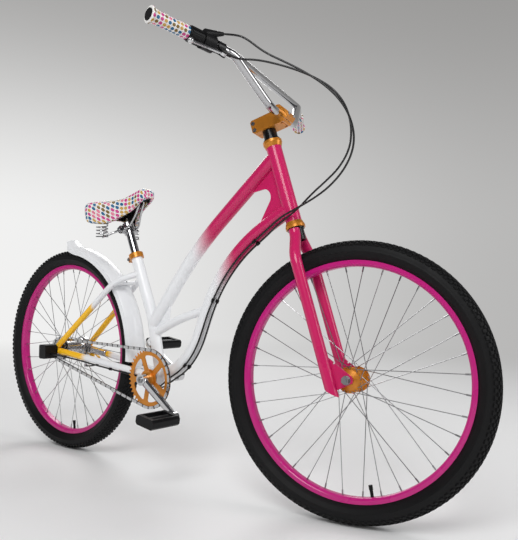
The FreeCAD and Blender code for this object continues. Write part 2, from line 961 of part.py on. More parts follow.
def toothed_outline(teeth):
    """Outline of a toothed wheel about the origin, with a gullet on the +X line."""
    pitch = pitch_radius(teeth)
    step = 2 * math.pi / teeth
    seat = roller_radius + gullet_gap
    tip_radius = pitch + tooth_rise
    half_tip = tooth_tip / 2 / tip_radius
    swing = math.radians(gullet_half_angle)
    edges = []
    first = last = None
    for k in range(teeth):
        out = X * math.cos(k * step) + Z * math.sin(k * step)
        along = Z * math.cos(k * step) - X * math.sin(k * step)
        centre = out * pitch
        low = centre - out * (seat * math.cos(swing)) - along * (seat * math.sin(swing))
        high = centre - out * (seat * math.cos(swing)) + along * (seat * math.sin(swing))
        tips = []
        for angle in ((k + 0.5) * step - half_tip, (k + 0.5) * step + half_tip):
            tips.append((X * math.cos(angle) + Z * math.sin(angle)) * tip_radius)
        if last is not None:
            edges.append(Part.LineSegment(last, low).toShape())
        else:
            first = low
        edges.append(Part.Arc(low, centre - out * seat, high).toShape())
        edges.append(Part.LineSegment(high, tips[0]).toShape())
        edges.append(Part.LineSegment(tips[0], tips[1]).toShape())
        last = tips[1]
    edges.append(Part.LineSegment(last, first).toShape())
    return Part.Wire(edges)


def toothed_disc(teeth, centre, turn):
    """A toothed disc across Y, centred on the chain line, with a gullet along the line of centres."""
    disc = Part.Face(toothed_outline(teeth)).extrude(Y * ring_thickness)
    disc.rotate(V(), Y, drive_angle + turn)
    disc.translate(centre - Y * (chain_line + ring_thickness / 2))
    return disc


def ring_window():
    """Cutter for one rounded window between two arms of the chainring."""
    half = math.pi / ring_arms
    ends = []
    for radius in (ring_window_inner, ring_window_outer):
        ends.append(half - math.asin(ring_arm_width / 2 / radius))

    def at(radius, angle):
        return V(radius * math.cos(angle), 0, radius * math.sin(angle))

    low, high = ring_window_inner, ring_window_outer
    edges = [
        Part.Arc(at(low, -ends[0]), at(low, 0), at(low, ends[0])).toShape(),
        Part.LineSegment(at(low, ends[0]), at(high, ends[1])).toShape(),
        Part.Arc(at(high, ends[1]), at(high, 0), at(high, -ends[1])).toShape(),
        Part.LineSegment(at(high, -ends[1]), at(low, -ends[0])).toShape(),
    ]
    depth = ring_thickness + 2 * overrun
    cutter = Part.Face(Part.Wire(edges)).extrude(Y * depth)
    upright = [e for e in cutter.Edges if abs(e.BoundBox.YLength - depth) < press_gap]
    cutter = cutter.makeFillet(ring_window_corner, upright)
    cutter.translate(-Y * (depth / 2))
    return cutter


def chainring():
    """Toothed ring with windows between its arms and a thick middle that seats on the crank."""
    disc = toothed_disc(ring_teeth, bb, 0)
    middle = V(bb.x, -chain_line, bb.z)
    hub_start = middle + Y * (ring_thickness / 2)
    hub_length = crank_boss_inner - chain_line + ring_thickness / 2 - press_gap
    disc = disc.fuse(cylinder(hub_start, -Y, ring_hub_radius, hub_length))
    for k in range(ring_arms):
        cutter = ring_window()
        cutter.rotate(V(), Y, -crank_angle + (k + 0.5) * 360 / ring_arms)
        cutter.translate(middle)
        disc = disc.cut(cutter)
    bore = cylinder(hub_start + Y * overrun, -Y, spindle_radius + press_gap, 2 * ring_hub_radius)
    return disc.cut(bore)


def rear_sprocket():
    """Small toothed wheel on a sleeve that turns on the rear axle."""
    disc = toothed_disc(sprocket_teeth, rear_axle, 180)
    sleeve_length = sprocket_sleeve_outer - sprocket_sleeve_inner
    start = rear_axle - Y * sprocket_sleeve_outer
    bore = rear_axle_radius + sprocket_bore_gap
    sleeve = cylinder(start, Y, sprocket_hub_radius, sleeve_length)
    whole = disc.fuse(sleeve)
    return whole.cut(cylinder(start - Y * overrun, Y, bore, sleeve_length + 2 * overrun))


def roller_places():
    """Centres of the chain's rollers in order, along X from the rear axle and Z above it, before turning."""
    places = []
    ring_step = 2 * math.pi / ring_teeth
    for k in range(ring_wrap_links + 1):
        angle = ring_end - k * ring_step
        places.append((centre_distance + ring_pitch * math.cos(angle), ring_pitch * math.sin(angle)))
    sprocket = []
    sprocket_step = 2 * math.pi / sprocket_teeth
    for k in range(sprocket_wrap_links + 1):
        angle = math.pi + sprocket_end - k * sprocket_step
        sprocket.append((sprocket_pitch * math.cos(angle), sprocket_pitch * math.sin(angle)))

    def span(a, b):
        return [
            (a[0] + (b[0] - a[0]) * k / span_links, a[1] + (b[1] - a[1]) * k / span_links)
            for k in range(1, span_links)
        ]

    lower = span(places[-1], sprocket[0])
    upper = span(sprocket[-1], places[0])
    return places + lower + sprocket + upper


def chain_plate(near):
    """One side plate of a link between rollers at the origin and one pitch along X."""
    reach = plate_half_height - plate_corner
    outline = [(-plate_half_height, -reach), (-reach, -plate_half_height)]
    outline += [(chain_pitch + reach, -plate_half_height), (chain_pitch + plate_half_height, -reach)]
    outline += [(x, -z) for x, z in reversed(outline)]
    return slab([V(x, 0, z) for x, z in outline], near, plate_thickness)


def chain():
    """Roller chain: inner links that carry the rollers, and outer plates over their ends."""
    half = chain_inner_width / 2
    inner_near = half
    outer_near = half + plate_thickness + plate_gap
    rollers = []
    for place in (V(), X * chain_pitch):
        start = place - Y * (half + plate_thickness / 2)
        rollers.append(prism(start, Y, roller_radius, chain_inner_width + plate_thickness, roller_sides))
    inner_plates = [chain_plate(inner_near), chain_plate(-inner_near - plate_thickness)]
    inner = inner_plates[0].fuse(inner_plates[1:] + rollers)
    outer = [chain_plate(outer_near), chain_plate(-outer_near - plate_thickness)]
    places = roller_places()
    made = []
    for k, (a, b) in enumerate(zip(places, places[1:] + places[:1])):
        angle = math.degrees(math.atan2(b[1] - a[1], b[0] - a[0]))
        for piece in [inner] if k % 2 == 0 else outer:
            link = piece.copy()
            link.rotate(V(), Y, -angle)
            link.translate(V(a[0], 0, a[1]))
            link.rotate(V(), Y, drive_angle)
            link.translate(rear_axle - Y * chain_line)
            made.append(link)
    return group(made)


# Cranks and pedals


def crank_arm(side):
    """One forged crank arm, from its boss on the spindle to the eye that takes the pedal."""
    way = crank_out * -side
    across = way.cross(Y)
    eye = bb + way * crank_length
    boss_length = crank_boss_outer - crank_boss_inner
    eye_length = crank_eye_outer - crank_eye_inner
    boss = cylinder(bb + Y * (side * crank_boss_inner), Y * side, crank_boss_radius, boss_length)
    tip = cylinder(eye + Y * (side * crank_eye_inner), Y * side, crank_eye_radius, eye_length)
    wires = []
    sections = (
        (bb, (crank_boss_inner + crank_boss_outer) / 2, crank_root_width, crank_root_depth),
        (eye, (crank_eye_inner + crank_eye_outer) / 2, crank_tip_width, crank_tip_depth),
    )
    for centre, place, width, depth in sections:
        middle = centre + Y * (side * place)
        a, b = across * (width / 2), Y * (depth / 2)
        inset = b / 2
        corners = [middle + a - inset, middle + a + inset, middle + a / 2 + b, middle - a / 2 + b]
        corners += [middle - a + inset, middle - a - inset, middle - a / 2 - b, middle + a / 2 - b]
        wires.append(Part.makePolygon(corners + corners[:1]))
    arm = Part.makeLoft(wires, True, True).fuse([boss, tip])
    bores = [
        cylinder(bb, Y * side, spindle_radius + press_gap, crank_boss_outer + overrun),
        cylinder(eye, Y * side, pedal_axle_radius + press_gap, crank_eye_outer + overrun),
    ]
    return cut_all(arm, bores)


def crank_arms():
    """Both crank arms, set opposite each other."""
    return group([crank_arm(side) for side in SIDES])


def crank_spindle():
    """Bottom-bracket spindle with a socket-head bolt in each end."""
    half = crank_boss_outer - crank_bolt_height
    made = [cylinder(bb - Y * half, Y, spindle_radius, 2 * half)]
    for side in SIDES:
        way = Y * side
        head = cylinder(bb + way * crank_boss_outer, way, crank_bolt_radius, crank_bolt_height)
        neck = cylinder(bb + way * half, way, spindle_radius, crank_bolt_height)
        deep = crank_bolt_height + overrun
        socket = hexagon(bb + way * crank_boss_outer, way, 2 * crank_socket_radius, deep)
        made.append(head.fuse(neck).cut(socket))
    return group(made)


def pedal_centre(side):
    """Middle of a pedal's axle journal."""
    return bb + crank_out * (-side * crank_length)


def pedal_axles():
    """The two pedal axles, screwed into the crank eyes."""
    made = []
    for side in SIDES:
        centre, way = pedal_centre(side), Y * side
        grip = crank_eye_outer - crank_eye_inner
        screw = cylinder(centre + way * crank_eye_inner, way, pedal_axle_radius, grip)
        collar_start = centre + way * crank_eye_outer
        collar = cylinder(collar_start, way, pedal_axle_radius + press_gap, pedal_collar)
        reach = pedal_collar + pedal_length - pedal_end / 2
        journal = cylinder(collar_start, way, pedal_journal_radius, reach)
        made.append(screw.fuse([collar, journal]))
    return group(made)


def pedal(side):
    """Platform pedal: a barrel between two notched cage bars, with open windows."""
    start = crank_eye_outer + pedal_collar + turning_gap
    middle = pedal_centre(side) + Y * (side * (start + pedal_length / 2))
    hw, hh, ch = pedal_width / 2, pedal_height / 2, pedal_chamfer / 2
    outline = [(hw, hh - ch), (hw - ch, hh), (ch - hw, hh), (-hw, hh - ch)]
    outline += [(x, -z) for x, z in reversed(outline)]
    low = middle.y - pedal_length / 2
    body = slab([middle + V(x, 0, z) for x, z in outline], low, pedal_length)
    window = (pedal_width - 2 * pedal_bar - 2 * pedal_barrel_radius) / 2
    long_window = pedal_length - 2 * pedal_end
    cutters = []
    for flip in SIDES:
        place = middle + X * (flip * (pedal_barrel_radius + window / 2))
        cutters.append(block(place, X, Y, window, long_window, pedal_height + overrun))
        for face in SIDES:
            span = long_window / pedal_notches
            for k in range(pedal_notches):
                notch = middle + V(flip * hw, (k + 0.5) * span - long_window / 2, face * hh)
                cutters.append(block(notch, X + Z * (flip * face), Y, pedal_notch * 2, span / 2, pedal_notch))
    hollow = block(middle, X, Y, 2 * pedal_barrel_radius, long_window, pedal_height + overrun)
    barrel = cylinder(middle - Y * (pedal_length / 2), Y, pedal_barrel_radius, pedal_length)
    cutters.append(hollow.cut(barrel))
    body = cut_all(body, [group(cutters)])
    bore_start = middle - Y * (side * (pedal_length / 2 + overrun))
    bore_length = pedal_length - pedal_end / 2 + overrun + running_gap
    body = body.cut(cylinder(bore_start, Y * side, pedal_journal_radius + running_gap, bore_length))
    body.rotate(middle, Y, pedal_tilt)
    return body


# Frame


def down_wire():
    """Middle line of the down tube, from the bottom bracket to the head tube."""
    points = [
        bb,
        from_bb(down_lower_ahead, down_lower_rise),
        from_bb(down_upper_ahead, down_upper_rise),
        on_axis(fork_height + down_head_height),
    ]
    return bent_wire(points, [down_lower_bend, down_upper_bend])


def top_wire():
    """Middle line of the top tube, from the seat tube to the head tube."""
    points = [
        from_bb(-top_seat_back, top_seat_rise),
        from_bb(top_bend_ahead, top_bend_rise),
        on_axis(fork_height + top_head_height),
    ]
    return bent_wire(points, [top_bend])


def seat_wire():
    """Middle line of the bent seat tube, from the bottom bracket to its open top."""
    return bent_wire([bb, seat_bend_point, seat_top], [seat_bend])


def brace_wire():
    """Middle line of the arched brace between seat tube and down tube."""
    points = [
        from_bb(-brace_seat_back, brace_seat_rise),
        from_bb(brace_bend_ahead, brace_bend_rise),
        from_bb(brace_down_ahead, brace_down_rise),
    ]
    return bent_wire(points, [brace_bend])


def seat_stay_wire(side):
    """Middle line of one seat stay, from the seat tube to its dropout."""
    end = V(rear_axle.x, side * dropout_place, rear_axle.z)
    root_back = seat_bend_back + (seat_stay_root_rise - seat_bend_rise) * math.tan(math.radians(seat_lean))
    bend = from_bb(-seat_stay_bend_back, seat_stay_bend_rise, side * seat_stay_bend_side)
    stop = end + unit(bend - end) * stay_end_gap
    root = from_bb(-root_back, seat_stay_root_rise, side * seat_stay_root_side)
    return bent_wire([root, bend, stop], [seat_stay_bend])


def chain_stay_wire(side):
    """Middle line of one chain stay, from the bottom bracket to its dropout."""
    end = V(rear_axle.x, side * dropout_place, rear_axle.z)
    bend = from_bb(-chain_stay_bend_back, chain_stay_bend_rise, side * stay_mid_side)
    stop = end + unit(bend - end) * stay_end_gap
    root = from_bb(-chain_stay_root_back, chain_stay_root_rise, side * chain_stay_root_side)
    return bent_wire([root, bend, stop], [chain_stay_bend])


def frame_solids():
    """Filled outlines of the frame's tubes, used to shape each other's ends."""
    tall = head_length + 2 * overrun
    return {
        "head": cylinder(on_axis(fork_height - overrun), steer_up, head_tube_radius, tall),
        "shell": cylinder(bb - Y * bb_shell_half, Y, bb_shell_radius, 2 * bb_shell_half),
        "down": pipe(down_wire(), main_tube_radius),
        "top": pipe(top_wire(), top_tube_radius),
        "seat": pipe(seat_wire(), seat_tube_radius),
        "brace": pipe(brace_wire(), brace_radius),
    }


def head_gusset(solids):
    """Web behind the head tube, between top and down tube, with a round-ended cut-out."""
    top_point = from_bb(top_bend_ahead, top_bend_rise)
    down_point = from_bb(down_upper_ahead, down_upper_rise)
    high = on_axis(fork_height + top_head_height)
    low = on_axis(fork_height + down_head_height)
    thickness = gusset_thickness
    web = slab([high, (top_point + high) / 2, (down_point + low) / 2, low], -thickness / 2, thickness)
    eye = on_axis(fork_height + gusset_eye_height, -gusset_eye_back)
    start, depth = -thickness / 2 - overrun, thickness + 2 * overrun
    ends = []
    for slope in (gusset_upper_slope, gusset_lower_slope):
        angle = math.radians(slope)
        ends.append(eye + V(-math.cos(angle), 0, -math.sin(angle)) * gusset_reach)
    cutters = [round_bar(eye, end, gusset_eye_radius, start, depth) for end in ends]
    cutters.append(slab([eye] + ends, start, depth))
    return cut_all(web, cutters + [solids[n] for n in ("head", "top", "down")])


def seat_gusset(solids):
    """Small web between top tube and brace beside the seat tube, with a hollowed free edge."""
    high = from_bb(seat_gusset_top_ahead, seat_gusset_top_rise)
    middle = from_bb(seat_gusset_mid_ahead, seat_gusset_mid_rise)
    low = from_bb(seat_gusset_low_ahead, seat_gusset_low_rise)
    root = from_bb(-brace_seat_back, brace_seat_rise)
    heel = from_bb(-top_seat_back, top_seat_rise)
    lower = -Y * (gusset_thickness / 2)
    points = [p + lower for p in (high, middle, low, root, heel)]
    edges = [Part.Arc(points[0], points[1], points[2]).toShape()]
    for a, b in zip(points[2:], points[3:] + points[:1]):
        edges.append(Part.LineSegment(a, b).toShape())
    web = Part.Face(Part.Wire(edges)).extrude(Y * gusset_thickness)
    cleared = cut_all(web, [solids[n] for n in ("seat", "top", "brace")])
    return max(cleared.Solids, key=lambda s: s.BoundBox.XMax)


def seat_tube(solids):
    """Bent seat tube, bored for the seat post, with the chain-guard tab on its back."""
    wire = seat_wire()
    wall = seat_tube_radius - post_radius - running_gap
    tube = hollow_pipe(wire, seat_tube_radius, wall)
    back = seat_bend_back * tab_rise / seat_bend_rise
    root = from_bb(-back, tab_rise)
    eye = root - X * (seat_tube_radius + tab_length - tab_radius)
    low = -tab_thickness / 2
    tab = round_bar(root, eye, tab_radius, low, tab_thickness)
    hole = cylinder(eye + Y * (low - overrun), Y, tab_hole_radius, tab_thickness + 2 * overrun)
    tab = tab.cut(solids["seat"]).cut(hole)
    tab = min(tab.Solids, key=lambda s: s.BoundBox.XMin)
    return cut_all(tube.fuse(tab), [solids["shell"], solids["down"]])


def frame_tubes(solids):
    """The welded main frame, tube by tube, each end shaped to what it meets."""
    head_bore = (head_foot, steer_up, head_tube_radius, head_bore_radius, head_length)
    brace = hollow_pipe(brace_wire(), brace_radius, tube_thickness)
    top = hollow_pipe(top_wire(), top_tube_radius, tube_thickness)
    down = hollow_pipe(down_wire(), main_tube_radius, tube_thickness)
    shell_start = bb - Y * bb_shell_half
    return {
        "head_tube": ring(*head_bore),
        "bottom_bracket_shell": ring(shell_start, Y, bb_shell_radius, bb_bore_radius, 2 * bb_shell_half),
        "down_tube": cut_all(down, [solids["head"], solids["shell"]]),
        "seat_tube": seat_tube(solids),
        "top_tube": cut_all(top, [solids["head"], solids["seat"]]),
        "brace_tube": cut_all(brace, [solids["seat"], solids["down"], solids["top"]]),
        "frame_gussets": group([head_gusset(solids), seat_gusset(solids)]),
    }


def dropout(side):
    """One rear dropout plate: an arm to each stay, an axle slot and, on the left, a low arm with a hole."""
    low = side * dropout_place - dropout_thickness / 2
    seat_way = unit(from_bb(-seat_stay_bend_back, seat_stay_bend_rise) - rear_axle)
    chain_way = unit(from_bb(-chain_stay_bend_back, chain_stay_bend_rise) - rear_axle)
    size = (dropout_arm_radius, low, dropout_thickness)
    plate = cylinder(V(rear_axle.x, low, rear_axle.z), Y, dropout_eye_radius, dropout_thickness)
    plate = plate.fuse(round_bar(rear_axle, rear_axle + seat_way * dropout_seat_reach, *size))
    plate = plate.fuse(round_bar(rear_axle, rear_axle + chain_way * dropout_chain_reach, *size))
    start, depth = low - overrun, dropout_thickness + 2 * overrun
    if side > 0:
        slope = math.radians(low_arm_slope)
        low_way = V(math.cos(slope), 0, -math.sin(slope))
        near, far = rear_axle + low_way * low_arm_near, rear_axle + low_way * low_arm_far
        plate = plate.fuse(round_bar(rear_axle, far, low_arm_radius, low, dropout_thickness))
        plate = plate.cut(round_bar(near, far, low_arm_hole_radius, start, depth))
    angle = math.radians(dropout_slot_slope)
    slot_way = V(-math.cos(angle), 0, math.sin(angle))
    slot_end = rear_axle + slot_way * (dropout_slot_length + dropout_eye_radius)
    plate = plate.cut(round_bar(rear_axle, slot_end, rear_axle_radius + press_gap, start, depth))
    return plate


def rear_frame(solids):
    """Dropouts, both pairs of stays and the bridges that the fender bolts to."""
    plates = {side: dropout(side) for side in SIDES}
    seat_pair, chain_pair = [], []
    seat_filled = {side: pipe(seat_stay_wire(side), seat_stay_radius) for side in SIDES}
    chain_filled = {side: pipe(chain_stay_wire(side), chain_stay_radius) for side in SIDES}
    for side in SIDES:
        seat = hollow_pipe(seat_stay_wire(side), seat_stay_radius, stay_thickness)
        tools = [solids["seat"], plates[side]]
        if side > 0:
            tools.append(seat_filled[-side])
        seat_pair.append(cut_all(seat, tools))
        stay = hollow_pipe(chain_stay_wire(side), chain_stay_radius, stay_thickness)
        chain_pair.append(cut_all(stay, [solids["shell"], solids["seat"], solids["down"], plates[side]]))
    reach = 2 * dropout_place
    for centre, pair, filled in (
        (seat_bridge_centre(), seat_pair, seat_filled),
        (chain_bridge_centre(), chain_pair, chain_filled),
    ):
        bar = cylinder(centre - Y * (reach / 2), Y, bridge_radius, reach)
        bar = cut_all(bar, filled.values())
        between = min(bar.Solids, key=lambda s: abs(s.CenterOfMass.y))
        pair.append(between.cut(fender_bolt_shank(centre)))
    return {
        "rear_dropouts": group(list(plates.values())),
        "seat_stays": group(seat_pair),
        "chain_stays": group(chain_pair),
    }


def seat_bridge_centre():
    """Middle of the bridge between the seat stays, just outside the fender."""
    way = unit(from_bb(-seat_stay_bend_back, seat_stay_bend_rise) - rear_axle)
    return rear_axle + way * (fender_outer + bridge_rest + bridge_radius)


def chain_bridge_centre():
    """Middle of the bridge between the chain stays, just ahead of the fender's tab."""
    drop = fender_outer + bridge_rest + bridge_radius
    way = unit(from_bb(-chain_stay_bend_back, chain_stay_bend_rise) - rear_axle)
    return rear_axle + way * drop


def fender_bolt_shank(centre):
    """Room for a fender bolt's shank, through the fender and into a bridge."""
    way = unit(centre - rear_axle)
    length = fender_thickness + 2 * (bridge_radius + overrun)
    return cylinder(rear_axle + way * (fender_inner - overrun), way, fender_bolt_radius + press_gap, length)


def fender_section(inset):
    """Outline points of the fender's arched section at one face of its sheet."""
    half = fender_width / 2 - inset
    top = fender_outer - inset
    edge = fender_outer - fender_crown - inset
    foot = fender_outer - fender_crown - fender_skirt
    return [(foot, -half), (edge, -half), (top, 0), (edge, half), (foot, half)]


def fender_face():
    """The fender's section as a face on the +X side of the rear axle."""
    at = lambda q: rear_axle + X * q[0] + Y * q[1]
    outer = [at(q) for q in fender_section(0)]
    inner = [at(q) for q in fender_section(fender_thickness)]
    edges = []
    for row in (outer, inner):
        edges.append(Part.LineSegment(row[0], row[1]).toShape())
        edges.append(Part.Arc(row[1], row[2], row[3]).toShape())
        edges.append(Part.LineSegment(row[3], row[4]).toShape())
    for a, b in zip(outer[::4], inner[::4]):
        edges.append(Part.LineSegment(a, b).toShape())
    return Part.Face(Part.Wire(Part.__sortEdges__(edges)))


def rear_fender():
    """Rear fender: an arched sheet round the tyre with a turned-up tail and a tab at its foot."""
    face = fender_face()
    face.rotate(rear_axle, Y, -fender_low_angle)
    sweep = fender_high_angle - fender_low_angle
    body = face.revolve(rear_axle, Y, -sweep)
    face.rotate(rear_axle, Y, -sweep)
    angle = math.radians(fender_high_angle)
    out = V(math.cos(angle), 0, math.sin(angle))
    pivot = rear_axle + out * (fender_outer + fender_tail_radius)
    tail = face.revolve(pivot, Y, fender_tail_angle)
    tail = tail.common(tail_trim(tail))
    tab_face = slab_section(fender_tab_width)
    tab_face.rotate(rear_axle, Y, -fender_low_angle - fender_tab_lap)
    tab = tab_face.revolve(rear_axle, Y, fender_tab_angle + fender_tab_lap)
    whole = body.fuse([tail, tab])
    bolts = [fender_bolt_shank(c) for c in (seat_bridge_centre(), chain_bridge_centre())]
    return cut_all(whole, bolts)


def slab_section(width):
    """Section of the flat tab that carries the fender's foot on its bridge."""
    low, high = fender_outer - fender_thickness, fender_outer
    rows = [(low, -width / 2), (high, -width / 2), (high, width / 2), (low, width / 2)]
    points = [rear_axle + X * r + Y * s for r, s in rows]
    return Part.Face(Part.makePolygon(points + points[:1]))


def tail_trim(tail):
    """A tongue seen from above that rounds the corners of the fender's tail."""
    box = tail.BoundBox
    half = fender_width / 2 + press_gap
    a = V(box.XMin + fender_tail_round, 0, box.ZMin - overrun)
    width = fender_tail_round
    far = V(box.XMax + overrun, 0, a.z)
    edges = [
        Part.LineSegment(V(far.x, -half, a.z), V(a.x, -half, a.z)).toShape(),
        Part.Arc(V(a.x, -half, a.z), V(a.x - width, 0, a.z), V(a.x, half, a.z)).toShape(),
        Part.LineSegment(V(a.x, half, a.z), V(far.x, half, a.z)).toShape(),
        Part.LineSegment(V(far.x, half, a.z), V(far.x, -half, a.z)).toShape(),
    ]
    return Part.Face(Part.Wire(edges)).extrude(Z * (box.ZLength + 2 * overrun))


def frame_bolts():
    """The two fender bolts and the seat collar's bolt."""
    made = []
    for centre in (seat_bridge_centre(), chain_bridge_centre()):
        way = unit(centre - rear_axle)
        start = rear_axle + way * (fender_inner - fender_bolt_rest)
        head = cylinder(start, -way, fender_bolt_head_radius, fender_bolt_head)
        length = fender_bolt_rest + fender_thickness + bridge_rest + 2 * bridge_radius
        shank = cylinder(start, way, fender_bolt_radius, length)
        made.append(head.fuse(shank))
    centre, way = collar_bolt_line()
    half = collar_ear_width / 2
    head = cylinder(centre - way * (half + collar_bolt_head), way, collar_bolt_head_radius, collar_bolt_head)
    shank = cylinder(centre - way * half, way, collar_bolt_radius, collar_ear_width)
    made.append(head.fuse(shank))
    return group(made)


def collar_back():
    """Direction from the seat tube's middle line to the collar's ears."""
    return V(-math.cos(math.radians(seat_lean)), 0, -math.sin(math.radians(seat_lean)))


def collar_bolt_line():
    """Middle of the seat collar's bolt, and the way that it runs."""
    middle = seat_top - seat_up * (collar_height / 2)
    return middle + collar_back() * (collar_radius + collar_ear / 2 - collar_ear_lap), Y


def seat_collar():
    """Split clamp round the top of the seat tube, with two ears for its bolt."""
    start = seat_top - seat_up * collar_height
    middle = seat_top - seat_up * (collar_height / 2)
    back = collar_back()
    centre, way = collar_bolt_line()
    reach = collar_radius + collar_ear - collar_ear_lap - seat_tube_radius
    lug = middle + back * (seat_tube_radius + reach / 2)
    ears = block(lug, back, Y, reach, collar_ear_width, collar_height)
    body = cylinder(start, seat_up, collar_radius, collar_height).fuse(ears)
    tall = collar_height + 2 * overrun
    bore = cylinder(start - seat_up * overrun, seat_up, seat_tube_radius + press_gap, tall)
    slit = block(centre, back, Y, 2 * collar_radius, collar_slit, collar_height + overrun)
    hole = cylinder(centre - way * collar_radius, way, collar_bolt_radius + press_gap, 2 * collar_radius)
    return cut_all(body, [bore, slit, hole])


def bottom_bracket_cups():
    """The two screwed cups that carry the crank spindle."""
    made = []
    for side in SIDES:
        way = Y * side
        inside = bb + way * (bb_shell_half - bb_cup_depth)
        body = cylinder(inside, way, bb_bore_radius - press_gap, bb_cup_depth)
        flange = cylinder(bb + way * bb_shell_half, way, bb_cup_flange_radius, bb_cup_flange)
        bore = cylinder(bb, way, spindle_radius + running_gap, bb_shell_half + bb_cup_flange + overrun)
        made.append(body.fuse(flange).cut(bore))
    return group(made)


# Headset


def headset_cup(place, way):
    """One flared headset cup at an end of the head tube, with a pocket for its bearing."""
    rows = [(steerer_radius + turning_gap, -cup_skirt), (head_bore_radius - press_gap, -cup_skirt)]
    rows += [(head_bore_radius - press_gap, 0), (cup_neck_radius, 0), (cup_radius, cup_height - cup_flange)]
    rows += [(cup_radius, cup_height), (cup_pocket_radius, cup_height)]
    pocket = cup_height - bearing_height - press_gap
    rows += [(cup_pocket_radius, pocket), (steerer_radius + turning_gap, pocket)]
    return spun(rows, place, way, Y)


def headset_cups():
    """Upper and lower headset cups."""
    return group([headset_cup(head_top, steer_up), headset_cup(head_foot, -steer_up)])


def headset_bearings():
    """The two ring bearings that the steerer turns in."""
    made = []
    for place, way in ((head_top, steer_up), (head_foot, -steer_up)):
        start = place + way * (cup_height - bearing_height)
        outer, inner = cup_pocket_radius - press_gap, steerer_radius + running_gap
        made.append(ring(start, way, outer, inner, bearing_height))
    return group(made)


# Front end, modelled straight ahead


def fork_steerer():
    """Steerer tube on its crown, with the lower bearing's race."""
    race_low = fork_height - cup_height - turning_gap - race_height
    top = stem_low + stem_height - stem_slit
    low = race_low - crown_height
    tube = cylinder(on_axis(low), steer_up, steerer_radius, top - low)
    race = cylinder(on_axis(race_low), steer_up, cover_radius, race_height)
    crown = cylinder(on_axis(low), steer_up, crown_radius, crown_height)
    bore = cylinder(on_axis(low - overrun), steer_up, steerer_radius - steerer_wall, top - low + 2 * overrun)
    return cut_all(tube.fuse([race, crown]), [bore])


def blade_wire(side):
    """Middle line of one fork blade, from its tip to the crown."""
    points = [
        on_axis(-blade_foot - blade_radius, 0, side * blade_place),
        on_axis(blade_shoulder, 0, side * blade_place),
        on_axis(blade_neck, 0, side * blade_neck_side),
        on_axis(blade_crown + crown_radius, 0, side * blade_neck_side),
    ]
    return bent_wire(points, [blade_shoulder_bend, blade_neck_bend])


def fork_plate(side):
    """Flat axle plate ahead of a blade's tip, with an eyelet hole near its top."""
    low = side * fork_plate_place - fork_plate_thickness / 2
    eye = fork_plate_eye
    corner = math.sqrt(0.5) * eye
    a, b = on_axis(fork_plate_top), on_axis(corner, fork_offset + corner)
    tip = on_axis(0, fork_offset + eye)
    c, e = on_axis(-corner, fork_offset + corner), on_axis(-fork_plate_low)
    lift = Y * low
    edges = [
        Part.LineSegment(a + lift, b + lift).toShape(),
        Part.Arc(b + lift, tip + lift, c + lift).toShape(),
        Part.LineSegment(c + lift, e + lift).toShape(),
        Part.LineSegment(e + lift, a + lift).toShape(),
    ]
    plate = Part.Face(Part.Wire(edges)).extrude(Y * fork_plate_thickness)
    depth = fork_plate_thickness + 2 * overrun
    holes = [
        cylinder(front_axle + Y * (low - overrun), Y, front_axle_radius + press_gap, depth),
        cylinder(on_axis(fork_eyelet_height, fork_eyelet_out, low - overrun), Y, fork_eyelet_radius, depth),
    ]
    return cut_all(plate, holes)


def fork_blades():
    """The two fork blades, each with its axle plate welded in."""
    race_low = fork_height - cup_height - turning_gap - race_height
    crown = cylinder(on_axis(race_low - crown_height), steer_up, crown_radius, crown_height)
    over = cylinder(on_axis(race_low), steer_up, blade_place, blade_place)
    made = []
    for side in SIDES:
        wire = blade_wire(side)
        blade = hollow_pipe(wire, blade_radius, blade_wall)
        plate = fork_plate(side).cut(pipe(wire, blade_radius))
        plate = max(plate.Solids, key=lambda s: s.Volume)
        half = cylinder(on_axis(-blade_place), steer_up, wheelbase, wheelbase)
        away = on_axis(0, 0, -side * wheelbase)
        half = half.cut(block(away, X, Y, wheelbase * 4, wheelbase * 2, wheelbase * 4))
        angle = math.radians(blade_tip_slope)
        heel = on_axis(-blade_foot, 0, side * blade_place)
        slope = unit(steer_out * math.cos(angle) - steer_up * math.sin(angle))
        drop = unit(steer_out * -math.sin(angle) - steer_up * math.cos(angle))
        wedge = block(heel + drop * blade_place, slope, Y, blade_place * 4, blade_place, blade_place * 2)
        leg = cut_all(blade.fuse(plate), [wedge, crown, over]).common(half)
        made.append(max(leg.Solids, key=lambda s: s.Volume))
    return group(made)


def steerer_spacer():
    """Bearing cover and the tall spacer under the stem."""
    start = fork_height + head_length + cup_height + turning_gap
    cover = cylinder(on_axis(start), steer_up, cover_radius, cover_height)
    spacer = cylinder(on_axis(start), steer_up, spacer_radius, cover_height + spacer_length)
    bore_length = cover_height + spacer_length + 2 * overrun
    bore = cylinder(on_axis(start - overrun), steer_up, steerer_radius + press_gap, bore_length)
    return cover.fuse(spacer).cut(bore)


def split_frame():
    """Directions along and across the stem's split, seen from the side."""
    tilt = math.radians(stem_split_tilt)
    along = steer_out * math.sin(tilt) - steer_up * math.cos(tilt)
    across = steer_out * math.cos(tilt) + steer_up * math.sin(tilt)
    return along, across


def stem_bolt_places():
    """Heads of the four cap bolts, on the cap's outer face."""
    along, across = split_frame()
    face = bar_centre + across * stem_cap_height
    return [
        face + along * (rise * stem_bolt_rise) + Y * (side * stem_bolt_spread)
        for side in SIDES
        for rise in SIDES
    ]


def stem_pinch_places():
    """Heads of the two bolts that close the stem's slit, on its right side."""
    out = stem_pinch_inset - stem_back
    return [on_axis(stem_low + stem_height * k / 4, out, -stem_width / 2) for k in (1, 3)]


